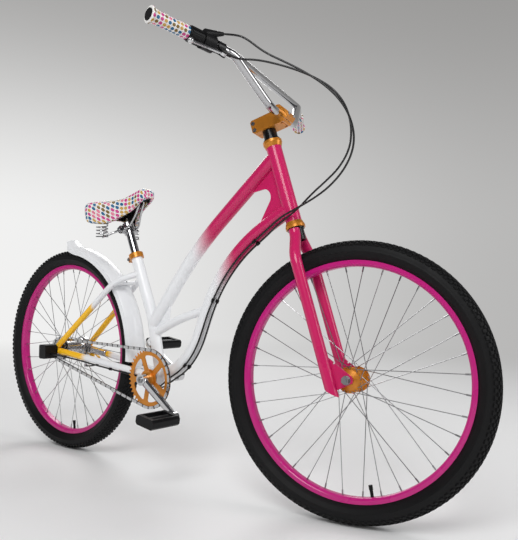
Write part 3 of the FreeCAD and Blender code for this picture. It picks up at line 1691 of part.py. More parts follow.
def clamp_half(facing, depth):
    """One half of the bar clamp, from the split to its flat outer face."""
    along, across = split_frame()
    wide, corner, near = stem_clamp_radius, stem_clamp_corner, stem_split / 2
    rows = [(-wide, near), (-wide, depth - corner), (corner - wide, depth)]
    rows += [(-a, b) for a, b in reversed(rows)]
    points = [bar_centre + along * a + across * (facing * b) for a, b in rows]
    return slab(points, -stem_width / 2, stem_width)


def stem():
    """Block stem: a split clamp on the steerer, a lower jaw for the bar and its slanting cap."""
    along, across = split_frame()
    top, back, corner = stem_low + stem_height, -stem_back, stem_corner
    outline = [
        on_axis(stem_low + corner, back),
        on_axis(stem_low, back + corner),
        on_axis(stem_low, stem_reach),
        on_axis(top, stem_reach),
        on_axis(top, back + corner),
        on_axis(top - corner, back),
    ]
    body = slab(outline, -stem_width / 2, stem_width).fuse(clamp_half(-1, stem_jaw_depth))
    size = 2 * (stem_back + stem_reach)
    ahead = block(bar_centre + across * ((size - stem_split) / 2), across, along, size, size, size)
    cap = clamp_half(1, stem_cap_height)
    bar_bore = cylinder(bar_centre - Y * stem_width, Y, bar_radius + press_gap, 2 * stem_width)
    steerer_length = stem_height + 2 * overrun
    steerer_bore = cylinder(on_axis(stem_low - overrun), steer_up, steerer_radius + press_gap, steerer_length)
    middle = on_axis(stem_low + stem_height / 2, back)
    slit = block(middle, steer_out, Y, 2 * stem_back, stem_slit, 2 * stem_height)
    holes = [slit, bar_bore, steerer_bore] + stem_bolt_holes()
    return group([cut_all(body, [ahead] + holes), cut_all(cap, holes[1:])])


def stem_bolt_lines():
    """Start, direction and length of every bolt in the stem."""
    _, across = split_frame()
    reach = stem_cap_height + stem_jaw_depth - stem_bolt_head / 2
    lines = [(place, across * -1, reach) for place in stem_bolt_places()]
    return lines + [(place, Y, stem_width) for place in stem_pinch_places()]


def stem_bolt_holes():
    """Cutters for the stem's bolts and their sunk heads."""
    cutters = []
    for place, way, length in stem_bolt_lines():
        start = place - way * overrun
        cutters.append(cylinder(start, way, stem_bolt_radius + press_gap, length + 2 * overrun))
        deep = overrun + stem_bolt_head + press_gap
        cutters.append(cylinder(start, way, stem_bolt_head_radius + press_gap, deep))
    return cutters


def stem_bolts():
    """Cap bolts and pinch bolts of the stem, socket heads sunk in their seats."""
    made = []
    for place, way, length in stem_bolt_lines():
        head = cylinder(place, way, stem_bolt_head_radius, stem_bolt_head)
        shank = cylinder(place, way, stem_bolt_radius, length)
        socket = hexagon(place - way * overrun, way, stem_bolt_radius, overrun + stem_bolt_head / 2)
        made.append(head.fuse(shank).cut(socket))
    return group(made)


def bar_corner(side):
    """Where the bar meets its crossbar on one side."""
    return bar_centre + V(-bar_crossing_back, side * bar_crossing_side, bar_crossing_rise)


def bar_end(side):
    """End of the bar on one side."""
    return bar_centre + V(-bar_end_back, side * bar_half_width, bar_end_rise)


def bar_way(side):
    """Direction of one grip stretch, from its end towards the middle."""
    return unit(bar_corner(side) - bar_end(side))


def handlebar():
    """High-rise bar with a straight crossbar welded between its bends."""
    points = [bar_end(-1), bar_corner(-1)]
    points += [bar_centre + Y * (side * bar_bend_side) for side in SIDES]
    points += [bar_corner(1), bar_end(1)]
    radii = [bar_upper_bend, bar_lower_bend, bar_lower_bend, bar_upper_bend]
    wire = bent_wire(points, radii)
    filled = pipe(wire, bar_radius)
    bore = pipe(wire, bar_radius - bar_wall)
    inset = unit(bar_corner(1) - bar_corner(-1)) * bar_radius
    start, end = bar_corner(-1) + inset / 2, bar_corner(1) - inset / 2
    cross = cylinder(start, end - start, cross_bar_radius, (end - start).Length)
    return filled.fuse(cross).cut(bore)


def grips():
    """Two moulded grips with a flange at the outer end; the right one leaves room for the shifter."""
    made = []
    for side, length in ((-1, right_grip_length), (1, left_grip_length)):
        way = bar_way(side)
        end = bar_end(side) - way * grip_overhang
        body = cylinder(end, way, grip_radius, length + grip_overhang)
        flange = cylinder(end, way, grip_flange_radius, grip_flange)
        mouth = cylinder(end - way * overrun, way, bar_radius + grip_fit, length + 2 * overrun)
        made.append(body.fuse(flange).cut(mouth))
    return group(made)


def grip_plugs():
    """Caps pushed into the bar's open ends."""
    made = []
    for side in SIDES:
        way = bar_way(side)
        end = bar_end(side) - way * grip_overhang
        disc = cylinder(end, -way, plug_radius, plug_height)
        neck = cylinder(end - way * (plug_height / 2), way, bar_radius, grip_overhang + plug_height / 2)
        stem_part = cylinder(end, way, bar_radius - bar_wall - press_gap, grip_overhang + plug_stem)
        made.append(disc.fuse([neck, stem_part]))
    return group(made)


def shift_grip():
    """Ribbed sleeve that twists on the bar to change gear."""
    way = bar_way(-1)
    start = bar_end(-1) + way * (right_grip_length + twist_gap)
    sleeve = cylinder(start, way, twist_radius, twist_length)
    across = unit(way.cross(Z))
    up = way.cross(across)
    ribs = []
    for k in range(twist_ribs):
        angle = 2 * math.pi * k / twist_ribs
        out = across * math.cos(angle) + up * math.sin(angle)
        rib_length = twist_length - 2 * twist_rib_width
        reach = twist_rib_radius - bar_radius - bar_wall
        centre = start + way * (twist_length / 2) + out * (twist_rib_radius - reach / 2)
        ribs.append(block(centre, way, out, rib_length, reach, twist_rib_width))
    bore = cylinder(start - way * overrun, way, bar_radius + sprocket_bore_gap, twist_length + 2 * overrun)
    return sleeve.fuse(ribs).cut(bore)


def shifter_place():
    """Outer end of the shifter's fixed housing on the bar."""
    return bar_end(-1) + bar_way(-1) * (right_grip_length + twist_length + 2 * twist_gap)


def shifter_outlet():
    """Root and direction of the cable cone on the shifter's housing."""
    way = bar_way(-1)
    angle = math.radians(shifter_cone_tilt)
    ahead = X * math.cos(angle) + Z * math.sin(angle)
    out = unit(ahead - way * ahead.dot(way))
    return shifter_place() + out * shifter_cone_out, unit(way * shifter_cone_length + out * shifter_cone_rise)


def shifter_housing():
    """Fixed housing of the twist shifter, with a tapered cable outlet that rises from the bar."""
    way = bar_way(-1)
    place = shifter_place()
    body = cylinder(place, way, shifter_radius, shifter_length)
    root, cone_way = shifter_outlet()
    cone = Part.makeCone(shifter_cone_root, shifter_cone_tip, shifter_cone_length, root, cone_way)
    outside = cylinder(place - way * shifter_cone_length, way, shifter_cone_length, shifter_cone_length)
    bore = cylinder(place - way * overrun, way, bar_radius + grip_fit, shifter_cone_length + 2 * overrun)
    return cut_all(body.fuse(cone), [outside, bore])


def lever_frame():
    """Pivot, outward direction, reach direction and pivot axis of the brake lever."""
    way = bar_way(-1)
    angle = math.radians(lever_drop)
    ahead = X * math.cos(angle) - Z * math.sin(angle)
    out = unit(ahead - way * ahead.dot(way))
    start = shifter_place() + way * (shifter_length + lever_clamp_gap)
    pivot = start + way * (lever_clamp_length / 2) + out * lever_pivot_out
    return pivot, way, out, way.cross(out)


def lever_stop():
    """Start and direction of the cable stop on the lever's bracket."""
    pivot, way, out, _ = lever_frame()
    return pivot - out * cable_stop_drop + way * (lever_bracket_radius + lever_fork_gap), way


def lever_clamp():
    """Clamp of the brake lever on the bar, with a forked bracket, its pivot pin and the cable stop."""
    pivot, way, out, axis = lever_frame()
    start = pivot - out * lever_pivot_out - way * (lever_clamp_length / 2)
    band = cylinder(start, way, lever_clamp_radius, lever_clamp_length)
    half = lever_depth / 2 + lever_fork_gap
    width = 2 * (half + lever_cheek)
    bracket = cylinder(pivot - axis * (width / 2), axis, lever_bracket_radius, width)
    neck = block(pivot - out * (lever_pivot_out / 2), out, way, lever_pivot_out, lever_clamp_length, width)
    room = lever_bracket_radius + lever_fork_gap
    slot = cylinder(pivot - axis * half, axis, room, 2 * half)
    low = lever_root_width / 2 + lever_swing_room
    mouth_centre = pivot - way * (lever_length / 2) + out * ((room - low) / 2)
    mouth = block(mouth_centre, way, out, lever_length, room + low, 2 * half)
    stop_start, stop_way = lever_stop()
    stop = cylinder(stop_start, stop_way, cable_stop_radius, cable_stop_length)
    pin = cylinder(pivot - axis * (width / 2), axis, lever_pivot_radius, width)
    bar_bore = cylinder(start - way * overrun, way, bar_radius + grip_fit, lever_clamp_length + 2 * overrun)
    body = cut_all(band.fuse([bracket, neck]), [slot, mouth]).fuse([stop, pin])
    return body.cut(bar_bore)


def lever_tip():
    """Centre of the ball at the lever's end."""
    pivot, way, out, _ = lever_frame()
    return pivot - way * lever_length + out * (lever_ball_out - lever_pivot_out)


def brake_lever():
    """Short lever with a round boss on its pivot, a tapering blade and a ball end."""
    pivot, _, _, axis = lever_frame()
    tip = lever_tip()
    along = unit(tip - pivot)
    across = axis.cross(along)
    boss = cylinder(pivot - axis * (lever_depth / 2), axis, lever_bracket_radius, lever_depth)
    wires = []
    for place, width, depth in (
        (pivot, lever_root_width, lever_depth),
        ((pivot + tip) / 2, lever_root_width, lever_depth * lever_waist_share),
        (tip, lever_tip_width, lever_depth * lever_waist_share),
    ):
        a, b = across * (width / 2), axis * (depth / 2)
        corners = [place + a - b / 2, place + a + b / 2, place + a / 2 + b, place - a / 2 + b]
        corners += [place - a + b / 2, place - a - b / 2, place - a / 2 - b, place + a / 2 - b]
        wires.append(Part.makePolygon(corners + corners[:1]))
    blade = Part.makeLoft(wires, True, True)
    ball = Part.makeSphere(lever_ball_radius, tip)
    bore = cylinder(pivot - axis * lever_depth, axis, lever_pivot_radius + running_gap, 2 * lever_depth)
    return boss.fuse([blade, ball]).cut(bore)


# Seat


def seat_post():
    """Plain chrome post, open at its foot and closed at its top."""
    start = seat_top - seat_up * post_insert
    length = post_insert + post_exposed
    post = cylinder(start, seat_up, post_radius, length)
    return post.cut(cylinder(start - seat_up * overrun, seat_up, post_radius - post_wall, length))


def rail_clamp_point(side):
    """Where a saddle rail passes through the clamp."""
    return from_post(0, -rail_clamp_drop, side * rail_clamp_side)


def saddle_clamp():
    """Clamp on the post's top: a band, a cross bolt and an ear round each rail."""
    start = post_top - seat_up * (clamp_height - overrun)
    band = cylinder(start, seat_up, clamp_radius, clamp_height)
    middle = from_post(0, -rail_clamp_drop)
    ears = []
    for side in SIDES:
        face = middle + Y * (side * clamp_radius / 2)
        ears.append(cylinder(face, Y * side, clamp_ear_radius, clamp_half_width - clamp_radius / 2))
    reach = clamp_half_width + clamp_nut
    bolt = cylinder(middle - Y * reach, Y, clamp_bolt_radius, 2 * reach)
    seats = [(side, middle + Y * (side * clamp_half_width)) for side in SIDES]
    nuts = [hexagon(seat, Y * side, clamp_nut_across, clamp_nut) for side, seat in seats]
    bore = cylinder(start - seat_up * overrun, seat_up, post_radius + press_gap, clamp_height + press_gap)
    body = band.fuse(ears + [bolt] + nuts).cut(bore)
    return cut_all(body, [pipe(rail_wire(side), rail_radius + press_gap) for side in SIDES])


def spring_foot(side):
    """Middle of a spring's lower end."""
    return from_post(-spring_back, spring_low, side * spring_side)


def spring_top():
    """Height of the springs' upper ends above the post's top, just under the saddle's shell."""
    return saddle_mid_low - spring_drop


def rail_wire(side):
    """Middle line of one rail, from the spring's eye through the clamp to the nose."""
    points = [
        spring_foot(side) - Z * rail_radius,
        rail_clamp_point(side) - V(rail_bend, 0, eye_thickness),
        rail_clamp_point(side) + V(rail_bend, 0, eye_thickness),
        from_post(rail_waist_ahead, rail_waist_rise, side * rail_waist_side),
        from_post(rail_nose_ahead, rail_nose_top(), side * rail_nose_side),
    ]
    return bent_wire(points, cord_radii(points))


def rail_nose_top():
    """Height of the rails' front ends, just under the saddle's shell at its nose."""
    share = (rail_nose_ahead - saddle_fore_ahead) / (saddle_nose_ahead - saddle_fore_ahead)
    roof = saddle_fore_top + (saddle_nose_top - saddle_fore_top) * share
    return roof - saddle_wall - saddle_shell - 2 * rail_radius


def saddle_rails():
    """Two bent wire rails, each with a round eye under its spring."""
    made = []
    for side in SIDES:
        rail = pipe(rail_wire(side), rail_radius)
        eye = cylinder(spring_foot(side) - Z * eye_thickness, Z, eye_radius, eye_thickness)
        made.append(rail.fuse(eye))
    return group(made)


def spring_wire_path(side):
    """Coil of one saddle spring: straight ends and a rising turn made of tangent arcs."""
    foot = spring_foot(side) + Z * spring_gap
    height = spring_top() - spring_low - 2 * spring_gap
    lead = 2 * spring_wire
    steps = spring_turns * spring_steps
    corner_radius = spring_radius / math.cos(math.pi / spring_steps)
    points = []
    for k in range(steps):
        angle = 2 * math.pi * (k + 0.5) / spring_steps
        rise = lead + (height - 2 * lead) * (k + 0.5) / steps
        points.append(foot + V(corner_radius * math.cos(angle), side * corner_radius * math.sin(angle), rise))
    first = V(points[0].x, points[0].y, foot.z)
    last = V(points[-1].x, points[-1].y, foot.z + height)
    points = [first] + points + [last]
    return bent_wire(points, arc_radii(points, spring_arc_share))


def arc_radii(points, share):
    """Arc radii that take up the given share of the shorter run at each inner point."""
    radii = []
    for before, corner, after in zip(points, points[1:], points[2:]):
        shorter = min((before - corner).Length, (after - corner).Length)
        half = (before - corner).getAngle(after - corner) / 2
        radii.append(share * shorter * math.tan(half))
    return radii


def cord_radii(points):
    """Arc radii as large as the runs of a cord or wire allow."""
    return arc_radii(points, cable_share)


def self_gap(wire, radius, spacing):
    """Least clear distance between stretches of one coil that lie at least spacing apart along it."""
    count = int(wire.Length / radius)
    points = wire.discretize(count)
    step = wire.Length / (count - 1)
    skip = int(spacing / step) + 1
    least = None
    for i in range(count):
        for j in range(i + skip, count):
            gap = (points[i] - points[j]).Length - 2 * radius
            least = gap if least is None else min(least, gap)
    return least


def saddle_springs():
    """The two coil springs under the back of the saddle."""
    wires = [spring_wire_path(side) for side in SIDES]
    gap = self_gap(wires[0], spring_wire, 2 * spring_radius)
    print(f"saddle spring: least gap between turns {gap:.2f} mm")
    return group([pipe(wire, spring_wire) for wire in wires])


def saddle_stations():
    """Stations along the saddle: place ahead of the post, half width, top and lower edge."""
    return [
        (-saddle_tail_back, saddle_tail_half, saddle_tail_top, saddle_tail_low),
        (-saddle_rear_back, saddle_rear_half, saddle_rear_top, saddle_rear_low),
        (-saddle_mid_back, saddle_mid_half, saddle_mid_top, saddle_mid_low),
        (saddle_waist_ahead, saddle_waist_half, saddle_waist_top, saddle_waist_low),
        (saddle_fore_ahead, saddle_fore_half, saddle_fore_top, saddle_fore_low),
        (saddle_nose_ahead, saddle_nose_half, saddle_nose_top, saddle_nose_low),
        (saddle_tip_ahead, saddle_tip_half, saddle_tip_top, saddle_tip_low),
    ]


def saddle_form(flank, wall, drop):
    """The saddle's crowned form, drawn in at its flanks and its top and let down by drop at its open foot."""
    wires = []
    stations = saddle_stations()
    last = len(stations) - 1
    for k, (ahead, half, top, low) in enumerate(stations):
        ahead = ahead + flank * ((k == 0) - (k == last))
        half = half - flank
        edge, foot = half * saddle_edge_share, half * saddle_foot_share
        crown = (top - low) * saddle_crown_share
        roof, brink, low = top - wall, top - wall - crown, low - drop
        middle = low + (brink - low) * saddle_shoulder_share
        at = lambda side, rise: from_post(ahead, rise, side)
        edges = [
            Part.LineSegment(at(foot, low), at(-foot, low)).toShape(),
            Part.Arc(at(-foot, low), at(-half, middle), at(-edge, brink)).toShape(),
            Part.Arc(at(-edge, brink), at(0, roof), at(edge, brink)).toShape(),
            Part.Arc(at(edge, brink), at(half, middle), at(foot, low)).toShape(),
        ]
        wires.append(Part.Wire(edges))
    return Part.makeLoft(wires, True, False)


def saddle():
    """Padded cover over a moulded shell with a boss on each spring and one round the rails' ends."""
    outer = saddle_form(0, 0, 0)
    hollow = saddle_form(saddle_flank, saddle_wall, overrun)
    inside = saddle_form(saddle_flank + saddle_shell, saddle_wall + saddle_shell, 2 * overrun)
    bosses = []
    for side in SIDES:
        start = from_post(-spring_back, spring_top(), side * spring_side)
        bosses.append(cylinder(start, Z, eye_radius, saddle_rear_top))
    nose = from_post(rail_nose_ahead, rail_nose_top() + nose_boss_depth, 0)
    bosses.append(block(nose, X, Y, nose_boss_length, 2 * saddle_nose_half, 4 * nose_boss_depth))
    shell = outer.common(hollow).cut(inside).fuse([inside.common(boss) for boss in bosses])
    rails = [pipe(rail_wire(side), rail_radius + press_gap) for side in SIDES]
    return outer.cut(hollow), cut_all(shell, rails)


# Shift box, brake unit and cables


def shift_box():
    """Housing of the gear changer over the right end of the rear axle."""
    length = box_outer - box_inner
    centre = rear_axle + V(box_ahead, -(box_inner + box_outer) / 2, -box_low)
    body = block(centre, X, Z, box_depth, box_height, length)
    upright = [e for e in body.Edges if abs(e.BoundBox.YLength - length) < press_gap]
    body = body.makeFillet(box_corner, upright)
    pocket = cylinder(rear_axle - Y * (box_inner - overrun), -Y, box_pocket_radius, box_pocket + overrun)
    return body.cut(pocket)


def cam_end():
    """Where the brake's cam carries the cable anchor."""
    return rear_axle + V(cam_end_ahead, drum_outer + cam_thickness / 2, -cam_end_drop)


def brake_unit():
    """Brake drum on the left of the hub, with its reaction arm, stay clip, cam and cable anchor."""
    start = rear_axle + Y * drum_inner
    drum = cylinder(start, Y, drum_radius, drum_outer - drum_inner)
    step = cylinder(rear_axle + Y * drum_outer, Y, drum_step_radius, drum_step)
    stay_end = rear_axle + Y * dropout_place
    run = unit(from_bb(-chain_stay_bend_back, chain_stay_bend_rise, stay_mid_side) - stay_end)
    centre = stay_end + run * arm_length
    arm = round_bar(rear_axle, centre, arm_radius, arm_place, arm_thickness)
    band = chain_stay_radius + arm_clip_wall
    clip = cylinder(centre - run * (arm_clip_width / 2), run, band, arm_clip_width)
    angle = math.radians(cam_angle)
    pivot = rear_axle + V(math.cos(angle), 0, math.sin(angle)) * cam_pivot_radius
    cam = round_bar(pivot, cam_end(), cam_radius, drum_outer, cam_thickness)
    anchor = cylinder(cam_end(), X, anchor_radius, anchor_length)
    bores = [
        cylinder(start - Y * overrun, Y, rear_axle_radius + press_gap, drum_outer + overrun),
        cylinder(centre - run * arm_length, run, chain_stay_radius + press_gap, 2 * arm_length),
    ]
    return cut_all(drum.fuse([step, arm, clip, cam, anchor]), bores)


def beside(wire, share, below, out):
    """Point beside a tube's middle line: so far along it, so far below it and so far to its left."""
    points = wire.discretize(Number=route_steps + 1)
    place = round(share * route_steps)
    run = points[place + 1] - points[place - 1]
    level = unit(V(run.x, 0, run.z))
    drop = level.cross(Y)
    if drop.z > 0:
        drop = -drop
    return points[place] + drop * below + Y * out


def held_points(side, lay, turn, leave):
    """Points of a cable that its tubes hold, from the head of the down tube to the end of a chain stay."""
    made = []
    angle = math.radians(lay)
    for share, rest in down_places:
        reach = main_tube_radius + cable_radius + rest
        made.append(beside(down_wire(), share, reach * math.cos(angle), -reach * math.sin(angle)))
    made += [bb + V(*q) for q in turn]
    stay = chain_stay_wire(side)
    for share, rest in stay_places:
        made.append(beside(stay, share, chain_stay_radius + cable_radius + rest, 0))
    return made + [beside(stay, share, below, side * out) for share, below, out in leave]


def shift_points():
    """Route of the shift cable, from the shifter's cone to the shift box."""
    root, way = shifter_outlet()
    tip = root + way * shifter_cone_length
    end = rear_axle + V(box_ahead + box_depth / 2, -box_inlet_side, -box_inlet_drop)
    starts = [steered_point(tip), steered_point(tip + way * shift_lead)]
    loop = [head_top + V(*q) for q in shift_loop]
    return starts + loop + held_points(-1, shift_lay, shift_turn, shift_leave) + [end + X * end_lead, end]


def brake_points():
    """Route of the brake cable, from the lever's stop to the anchor on the brake's cam."""
    stop, way = lever_stop()
    tip = stop + way * cable_stop_length
    end = cam_end() + X * anchor_length
    starts = [steered_point(tip), steered_point(tip + way * brake_lead)]
    loop = [head_top + V(*q) for q in brake_loop]
    return starts + loop + held_points(1, brake_lay, brake_turn, brake_leave) + [end + X * end_lead, end]


def cable(name, points, radius):
    """A cable along its route, with its length and tightest bend printed."""
    radii = cord_radii(points)
    wire = bent_wire(points, radii)
    tube = pipe(wire, radius)
    fill = tube.Volume / (math.pi * radius**2 * wire.Length)
    print(f"{name}: length {wire.Length:.0f} mm, least bend {min(radii):.0f} mm, volume share {fill:.4f}")
    print("  bends " + " ".join(f"{r:.0f}" for r in radii))
    return tube


def course(wire, place):
    """Way in which a middle line runs at its point nearest to a place."""
    points = wire.discretize(Number=route_steps + 1)
    k = min(range(1, route_steps), key=lambda j: (points[j] - place).Length)
    return unit(points[k + 1] - points[k - 1])


def cable_clip(points, run, wire, radius):
    """A clip's band about the middle of one run of a cable, on a foot that stands on a tube."""
    a, b = points[run], points[run + 1]
    way = unit(b - a)
    middle = (a + b) / 2
    seat = wire.distToShape(Part.Vertex(middle))[1][0][0]
    toward = seat - middle
    toward = toward - way * toward.dot(way)
    outer = cable_radius + clip_wall
    band = cylinder(middle - way * (clip_length / 2), way, outer, clip_length)
    foot = block(middle + toward / 2, toward, way, toward.Length, clip_foot, 2 * cable_radius)
    bore = cylinder(middle - way * clip_length, way, cable_radius + press_gap, 2 * clip_length)
    along = course(wire, seat)
    tube = cylinder(seat - along * clip_length, along, radius + clip_rest, 2 * clip_length)
    return cut_all(band.fuse(foot), [bore, tube])


def cable_clips():
    """Clips that hold both cables to the down tube and to the chain stays."""
    made = []
    for side, points in ((-1, shift_points()), (1, brake_points())):
        stay = chain_stay_wire(side)
        last = len(points) - len(shift_leave) - len(stay_places) - 2
        first = last - len(shift_turn) - len(down_places)
        made += [cable_clip(points, first + k, down_wire(), main_tube_radius) for k in down_clip_runs]
        made += [cable_clip(points, last + k, stay, chain_stay_radius) for k in stay_clip_runs]
    return group(made)


def wheel(name, axle, hub, lacing, turn):
    """All pieces that spin about one axle, turned so that the valve stands at its own angle."""
    made = {"tyre": tyre(axle), "rim": rim(axle), "inner_tube": inner_tube(axle), "hub": hub}
    made["spokes"] = spokes(*lacing)
    for shape in made.values():
        shape.rotate(axle, Y, -turn)
    return {f"{name}_{piece}": shape for piece, shape in made.items()}


def main():
    """Build every piece and write one file for each."""
    nodes = build()
    os.makedirs("parts", exist_ok=True)
    for name, shape in nodes.items():
        shape.exportStep(f"parts/{name}.step")
    print(f"{len(nodes)} nodes, {sum(len(s.Solids) for s in nodes.values())} solids")


def build():
    """All nodes of the bicycle by name."""
    solids = frame_solids()
    nodes = dict(frame_tubes(solids))
    nodes.update(rear_frame(solids))
    nodes["headset_cups"] = headset_cups()
    nodes["headset_bearings"] = headset_bearings()
    nodes["seat_collar"] = seat_collar()
    nodes["frame_bolts"] = frame_bolts()
    nodes["bottom_bracket_cups"] = bottom_bracket_cups()
    nodes["rear_fender"] = rear_fender()
    nodes["shift_box"] = shift_box()
    nodes["rear_brake_unit"] = brake_unit()
    nodes["rear_axle_set"] = rear_axle_set()
    nodes["chain"] = chain()
    nodes["chainring"] = chainring()
    nodes["rear_sprocket"] = rear_sprocket()
    nodes["crank_arms"] = crank_arms()
    nodes["crank_spindle"] = crank_spindle()
    nodes["pedal_axles"] = pedal_axles()
    nodes["right_pedal"] = pedal(-1)
    nodes["left_pedal"] = pedal(1)
    nodes.update(wheel("rear", rear_axle, rear_hub(), rear_lacing, rear_wheel_turn))
    nodes["shift_cable"] = cable("shift cable", shift_points(), cable_radius)
    nodes["brake_cable"] = cable("brake cable", brake_points(), cable_radius)
    nodes["cable_clips"] = cable_clips()
    front = wheel("front", front_axle, front_hub(), front_lacing, front_wheel_turn)
    front |= {
        "front_axle_set": front_axle_set(),
        "fork_steerer": fork_steerer(),
        "fork_blades": fork_blades(),
        "steerer_spacer": steerer_spacer(),
        "stem": stem(),
        "stem_bolts": stem_bolts(),
        "handlebar": handlebar(),
        "grips": grips(),
        "grip_plugs": grip_plugs(),
        "shift_grip": shift_grip(),
        "shifter_housing": shifter_housing(),
        "lever_clamp": lever_clamp(),
        "brake_lever": brake_lever(),
    }
    for name, shape in front.items():
        nodes[name] = steered(shape)
    nodes["seat_post"] = seat_post()
    nodes["saddle_clamp"] = saddle_clamp()
    nodes["saddle_rails"] = saddle_rails()
    nodes["saddle_springs"] = saddle_springs()
    nodes["saddle_cover"], nodes["saddle_shell"] = saddle()
    return nodes


if __name__ == "__main__":
    main()
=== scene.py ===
"""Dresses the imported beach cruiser: tyres, saddle cover, grips, cables, finishes, studio and camera."""

from __future__ import annotations

import json
import logging
import math
from collections.abc import Callable, Sequence
from dataclasses import astuple, dataclass
from enum import Enum
from itertools import accumulate
from typing import Any

import bmesh
import bpy
from mathutils import Matrix, Vector

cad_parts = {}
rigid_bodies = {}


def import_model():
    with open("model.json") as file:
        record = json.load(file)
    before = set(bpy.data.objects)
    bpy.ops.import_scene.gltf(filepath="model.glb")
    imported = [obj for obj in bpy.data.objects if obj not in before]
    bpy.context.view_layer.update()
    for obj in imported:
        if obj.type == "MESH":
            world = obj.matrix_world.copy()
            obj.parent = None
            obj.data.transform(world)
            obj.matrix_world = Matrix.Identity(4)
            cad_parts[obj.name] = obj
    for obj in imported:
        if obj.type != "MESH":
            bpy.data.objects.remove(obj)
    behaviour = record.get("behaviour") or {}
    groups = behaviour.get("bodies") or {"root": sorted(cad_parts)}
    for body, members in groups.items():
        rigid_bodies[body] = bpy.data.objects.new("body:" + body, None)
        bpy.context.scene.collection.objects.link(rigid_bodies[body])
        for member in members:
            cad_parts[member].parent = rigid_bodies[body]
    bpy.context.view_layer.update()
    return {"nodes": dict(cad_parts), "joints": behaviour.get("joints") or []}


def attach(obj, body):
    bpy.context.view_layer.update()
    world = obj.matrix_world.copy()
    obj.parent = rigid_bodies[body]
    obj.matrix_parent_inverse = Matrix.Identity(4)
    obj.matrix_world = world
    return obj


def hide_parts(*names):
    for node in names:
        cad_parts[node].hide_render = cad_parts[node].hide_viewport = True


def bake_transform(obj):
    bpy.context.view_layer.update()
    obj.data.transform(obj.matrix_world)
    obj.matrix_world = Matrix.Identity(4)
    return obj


LOG = logging.getLogger("cruiser")
MM = 0.001
HALF = 0.5
RIGHT_ANGLE = 90.0

Colour = tuple[float, float, float]
Point = tuple[float, float, float]
Row = tuple[float, float]


class Paint(Enum):
    """Linear colours of the bicycle's finishes."""

    PINK = (0.56, 0.008, 0.108)
    WHITE = (0.85, 0.86, 0.88)
    YELLOW = (0.98, 0.54, 0.012)
    MAGENTA = (0.52, 0.008, 0.19)
    ORANGE = (0.66, 0.24, 0.02)
    SILVER = (0.70, 0.70, 0.71)
    CHROME = (0.55, 0.55, 0.56)
    STEEL = (0.40, 0.40, 0.41)
    # Oil and painted shade of the chain's set-back inner plates and rollers.
    OILED = (0.11, 0.105, 0.10)
    BLACK = (0.004, 0.004, 0.0045)
    GREY_BLACK = (0.011, 0.011, 0.012)
    RUBBER = (0.0035, 0.0035, 0.004)
    DUST = (0.009, 0.009, 0.0095)
    HAZE = (0.88, 0.88, 0.90)
    CLOTH = (0.80, 0.79, 0.77)
    CLOTH_SHADE = (0.66, 0.64, 0.61)
    DOT_PINK = (0.58, 0.045, 0.24)
    DOT_ROSE = (0.72, 0.20, 0.30)
    DOT_BLUE = (0.008, 0.12, 0.26)
    DOT_GOLD = (0.56, 0.33, 0.07)
    DOT_OLIVE = (0.20, 0.12, 0.02)


class Axis(Enum):
    """Axes of the bicycle's frame."""

    ALONG = 0
    ACROSS = 1


class Wheel(Enum):
    """The two wheels, by the start of their nodes' names."""

    FRONT = "front"
    REAR = "rear"


@dataclass(frozen=True)
class Finish:
    """Shader settings that are the same all over one surface, in the order of the shader's labels."""

    metallic: float = 0.0
    roughness: float = 0.4
    coat: float = 0.0
    coat_roughness: float = 0.05
    specular: float = 0.5


@dataclass(frozen=True)
class Grain:
    """One noise field: features per metre, octaves, shares in colour and roughness, and base roughness."""

    scale: float
    detail: float = 2.0
    share: float = 0.0
    rough: float = 0.0
    base: float = 0.0
    stretch: Point = (1.0, 1.0, 1.0)


@dataclass(frozen=True)
class Station:
    """One cross-section of the saddle, in millimetres from the top of the seat post."""

    ahead: float
    half: float
    top: float
    low: float


@dataclass(frozen=True)
class Block:
    """One tread block: place across the tyre, half sizes, place along the pitch and skew."""

    side: float
    length: float
    width: float
    phase: float
    skew: float = 0.0


@dataclass(frozen=True)
class Route:
    """A held cable: its piece name, the node that it replaces and its points in millimetres."""

    name: str
    node: str
    points: tuple[Point, ...]


@dataclass(frozen=True)
class GripPlace:
    """Outer end, inward way and length of one grip, in millimetres."""

    name: str
    end: Point
    way: Point
    length: float


@dataclass(frozen=True)
class Lamp:
    """One soft studio light."""

    name: str
    place: Point
    target: Point
    size: float
    power: float


class Graph:
    """A node tree with one way to add a node."""

    def __init__(self, tree: bpy.types.NodeTree) -> None:
        """Keep the tree."""
        self.tree = tree

    def node(
        self, kind: str, settings: dict[str, Any] | None = None, inputs: dict[Any, Any] | None = None
    ) -> Any:
        """Add a node.

        Args:
            kind: Blender's node type.
            settings: Properties, set first.
            inputs: Values or links of its sockets, by name or index.

        Returns:
            The node.
        """
        made = self.tree.nodes.new(kind)
        for name, item in (settings or {}).items():
            setattr(made, name, item)
        for key, item in (inputs or {}).items():
            self.feed(made.inputs[key], item)
        return made

    def value(self, output: str | int, *details: Any, **inputs: Any) -> Value:
        """Add a node, described as for node, and return one of its outputs."""
        return Value(self, self.node(*details, **inputs).outputs[output])

    def feed(self, socket: bpy.types.NodeSocket, item: Any) -> None:
        """Set or link one input.

        Args:
            socket: Input socket.
            item: A Value, a socket, a paint, a colour or a number.
        """
        item = item.socket if isinstance(item, Value) else item
        item = item.value if isinstance(item, Paint) else item
        if isinstance(item, bpy.types.NodeSocket):
            self.tree.links.new(item, socket)
        elif socket.type == "RGBA":
            socket.default_value = (*item, 1.0)
        else:
            socket.default_value = item

    def mix(self, share: Any, first: Any, second: Any) -> Value:
        """Mix two colours, with a share of the second, and return the result."""
        inputs = {"Factor": share, 6: first, 7: second}
        return self.value(2, "ShaderNodeMix", {"data_type": "RGBA"}, inputs)


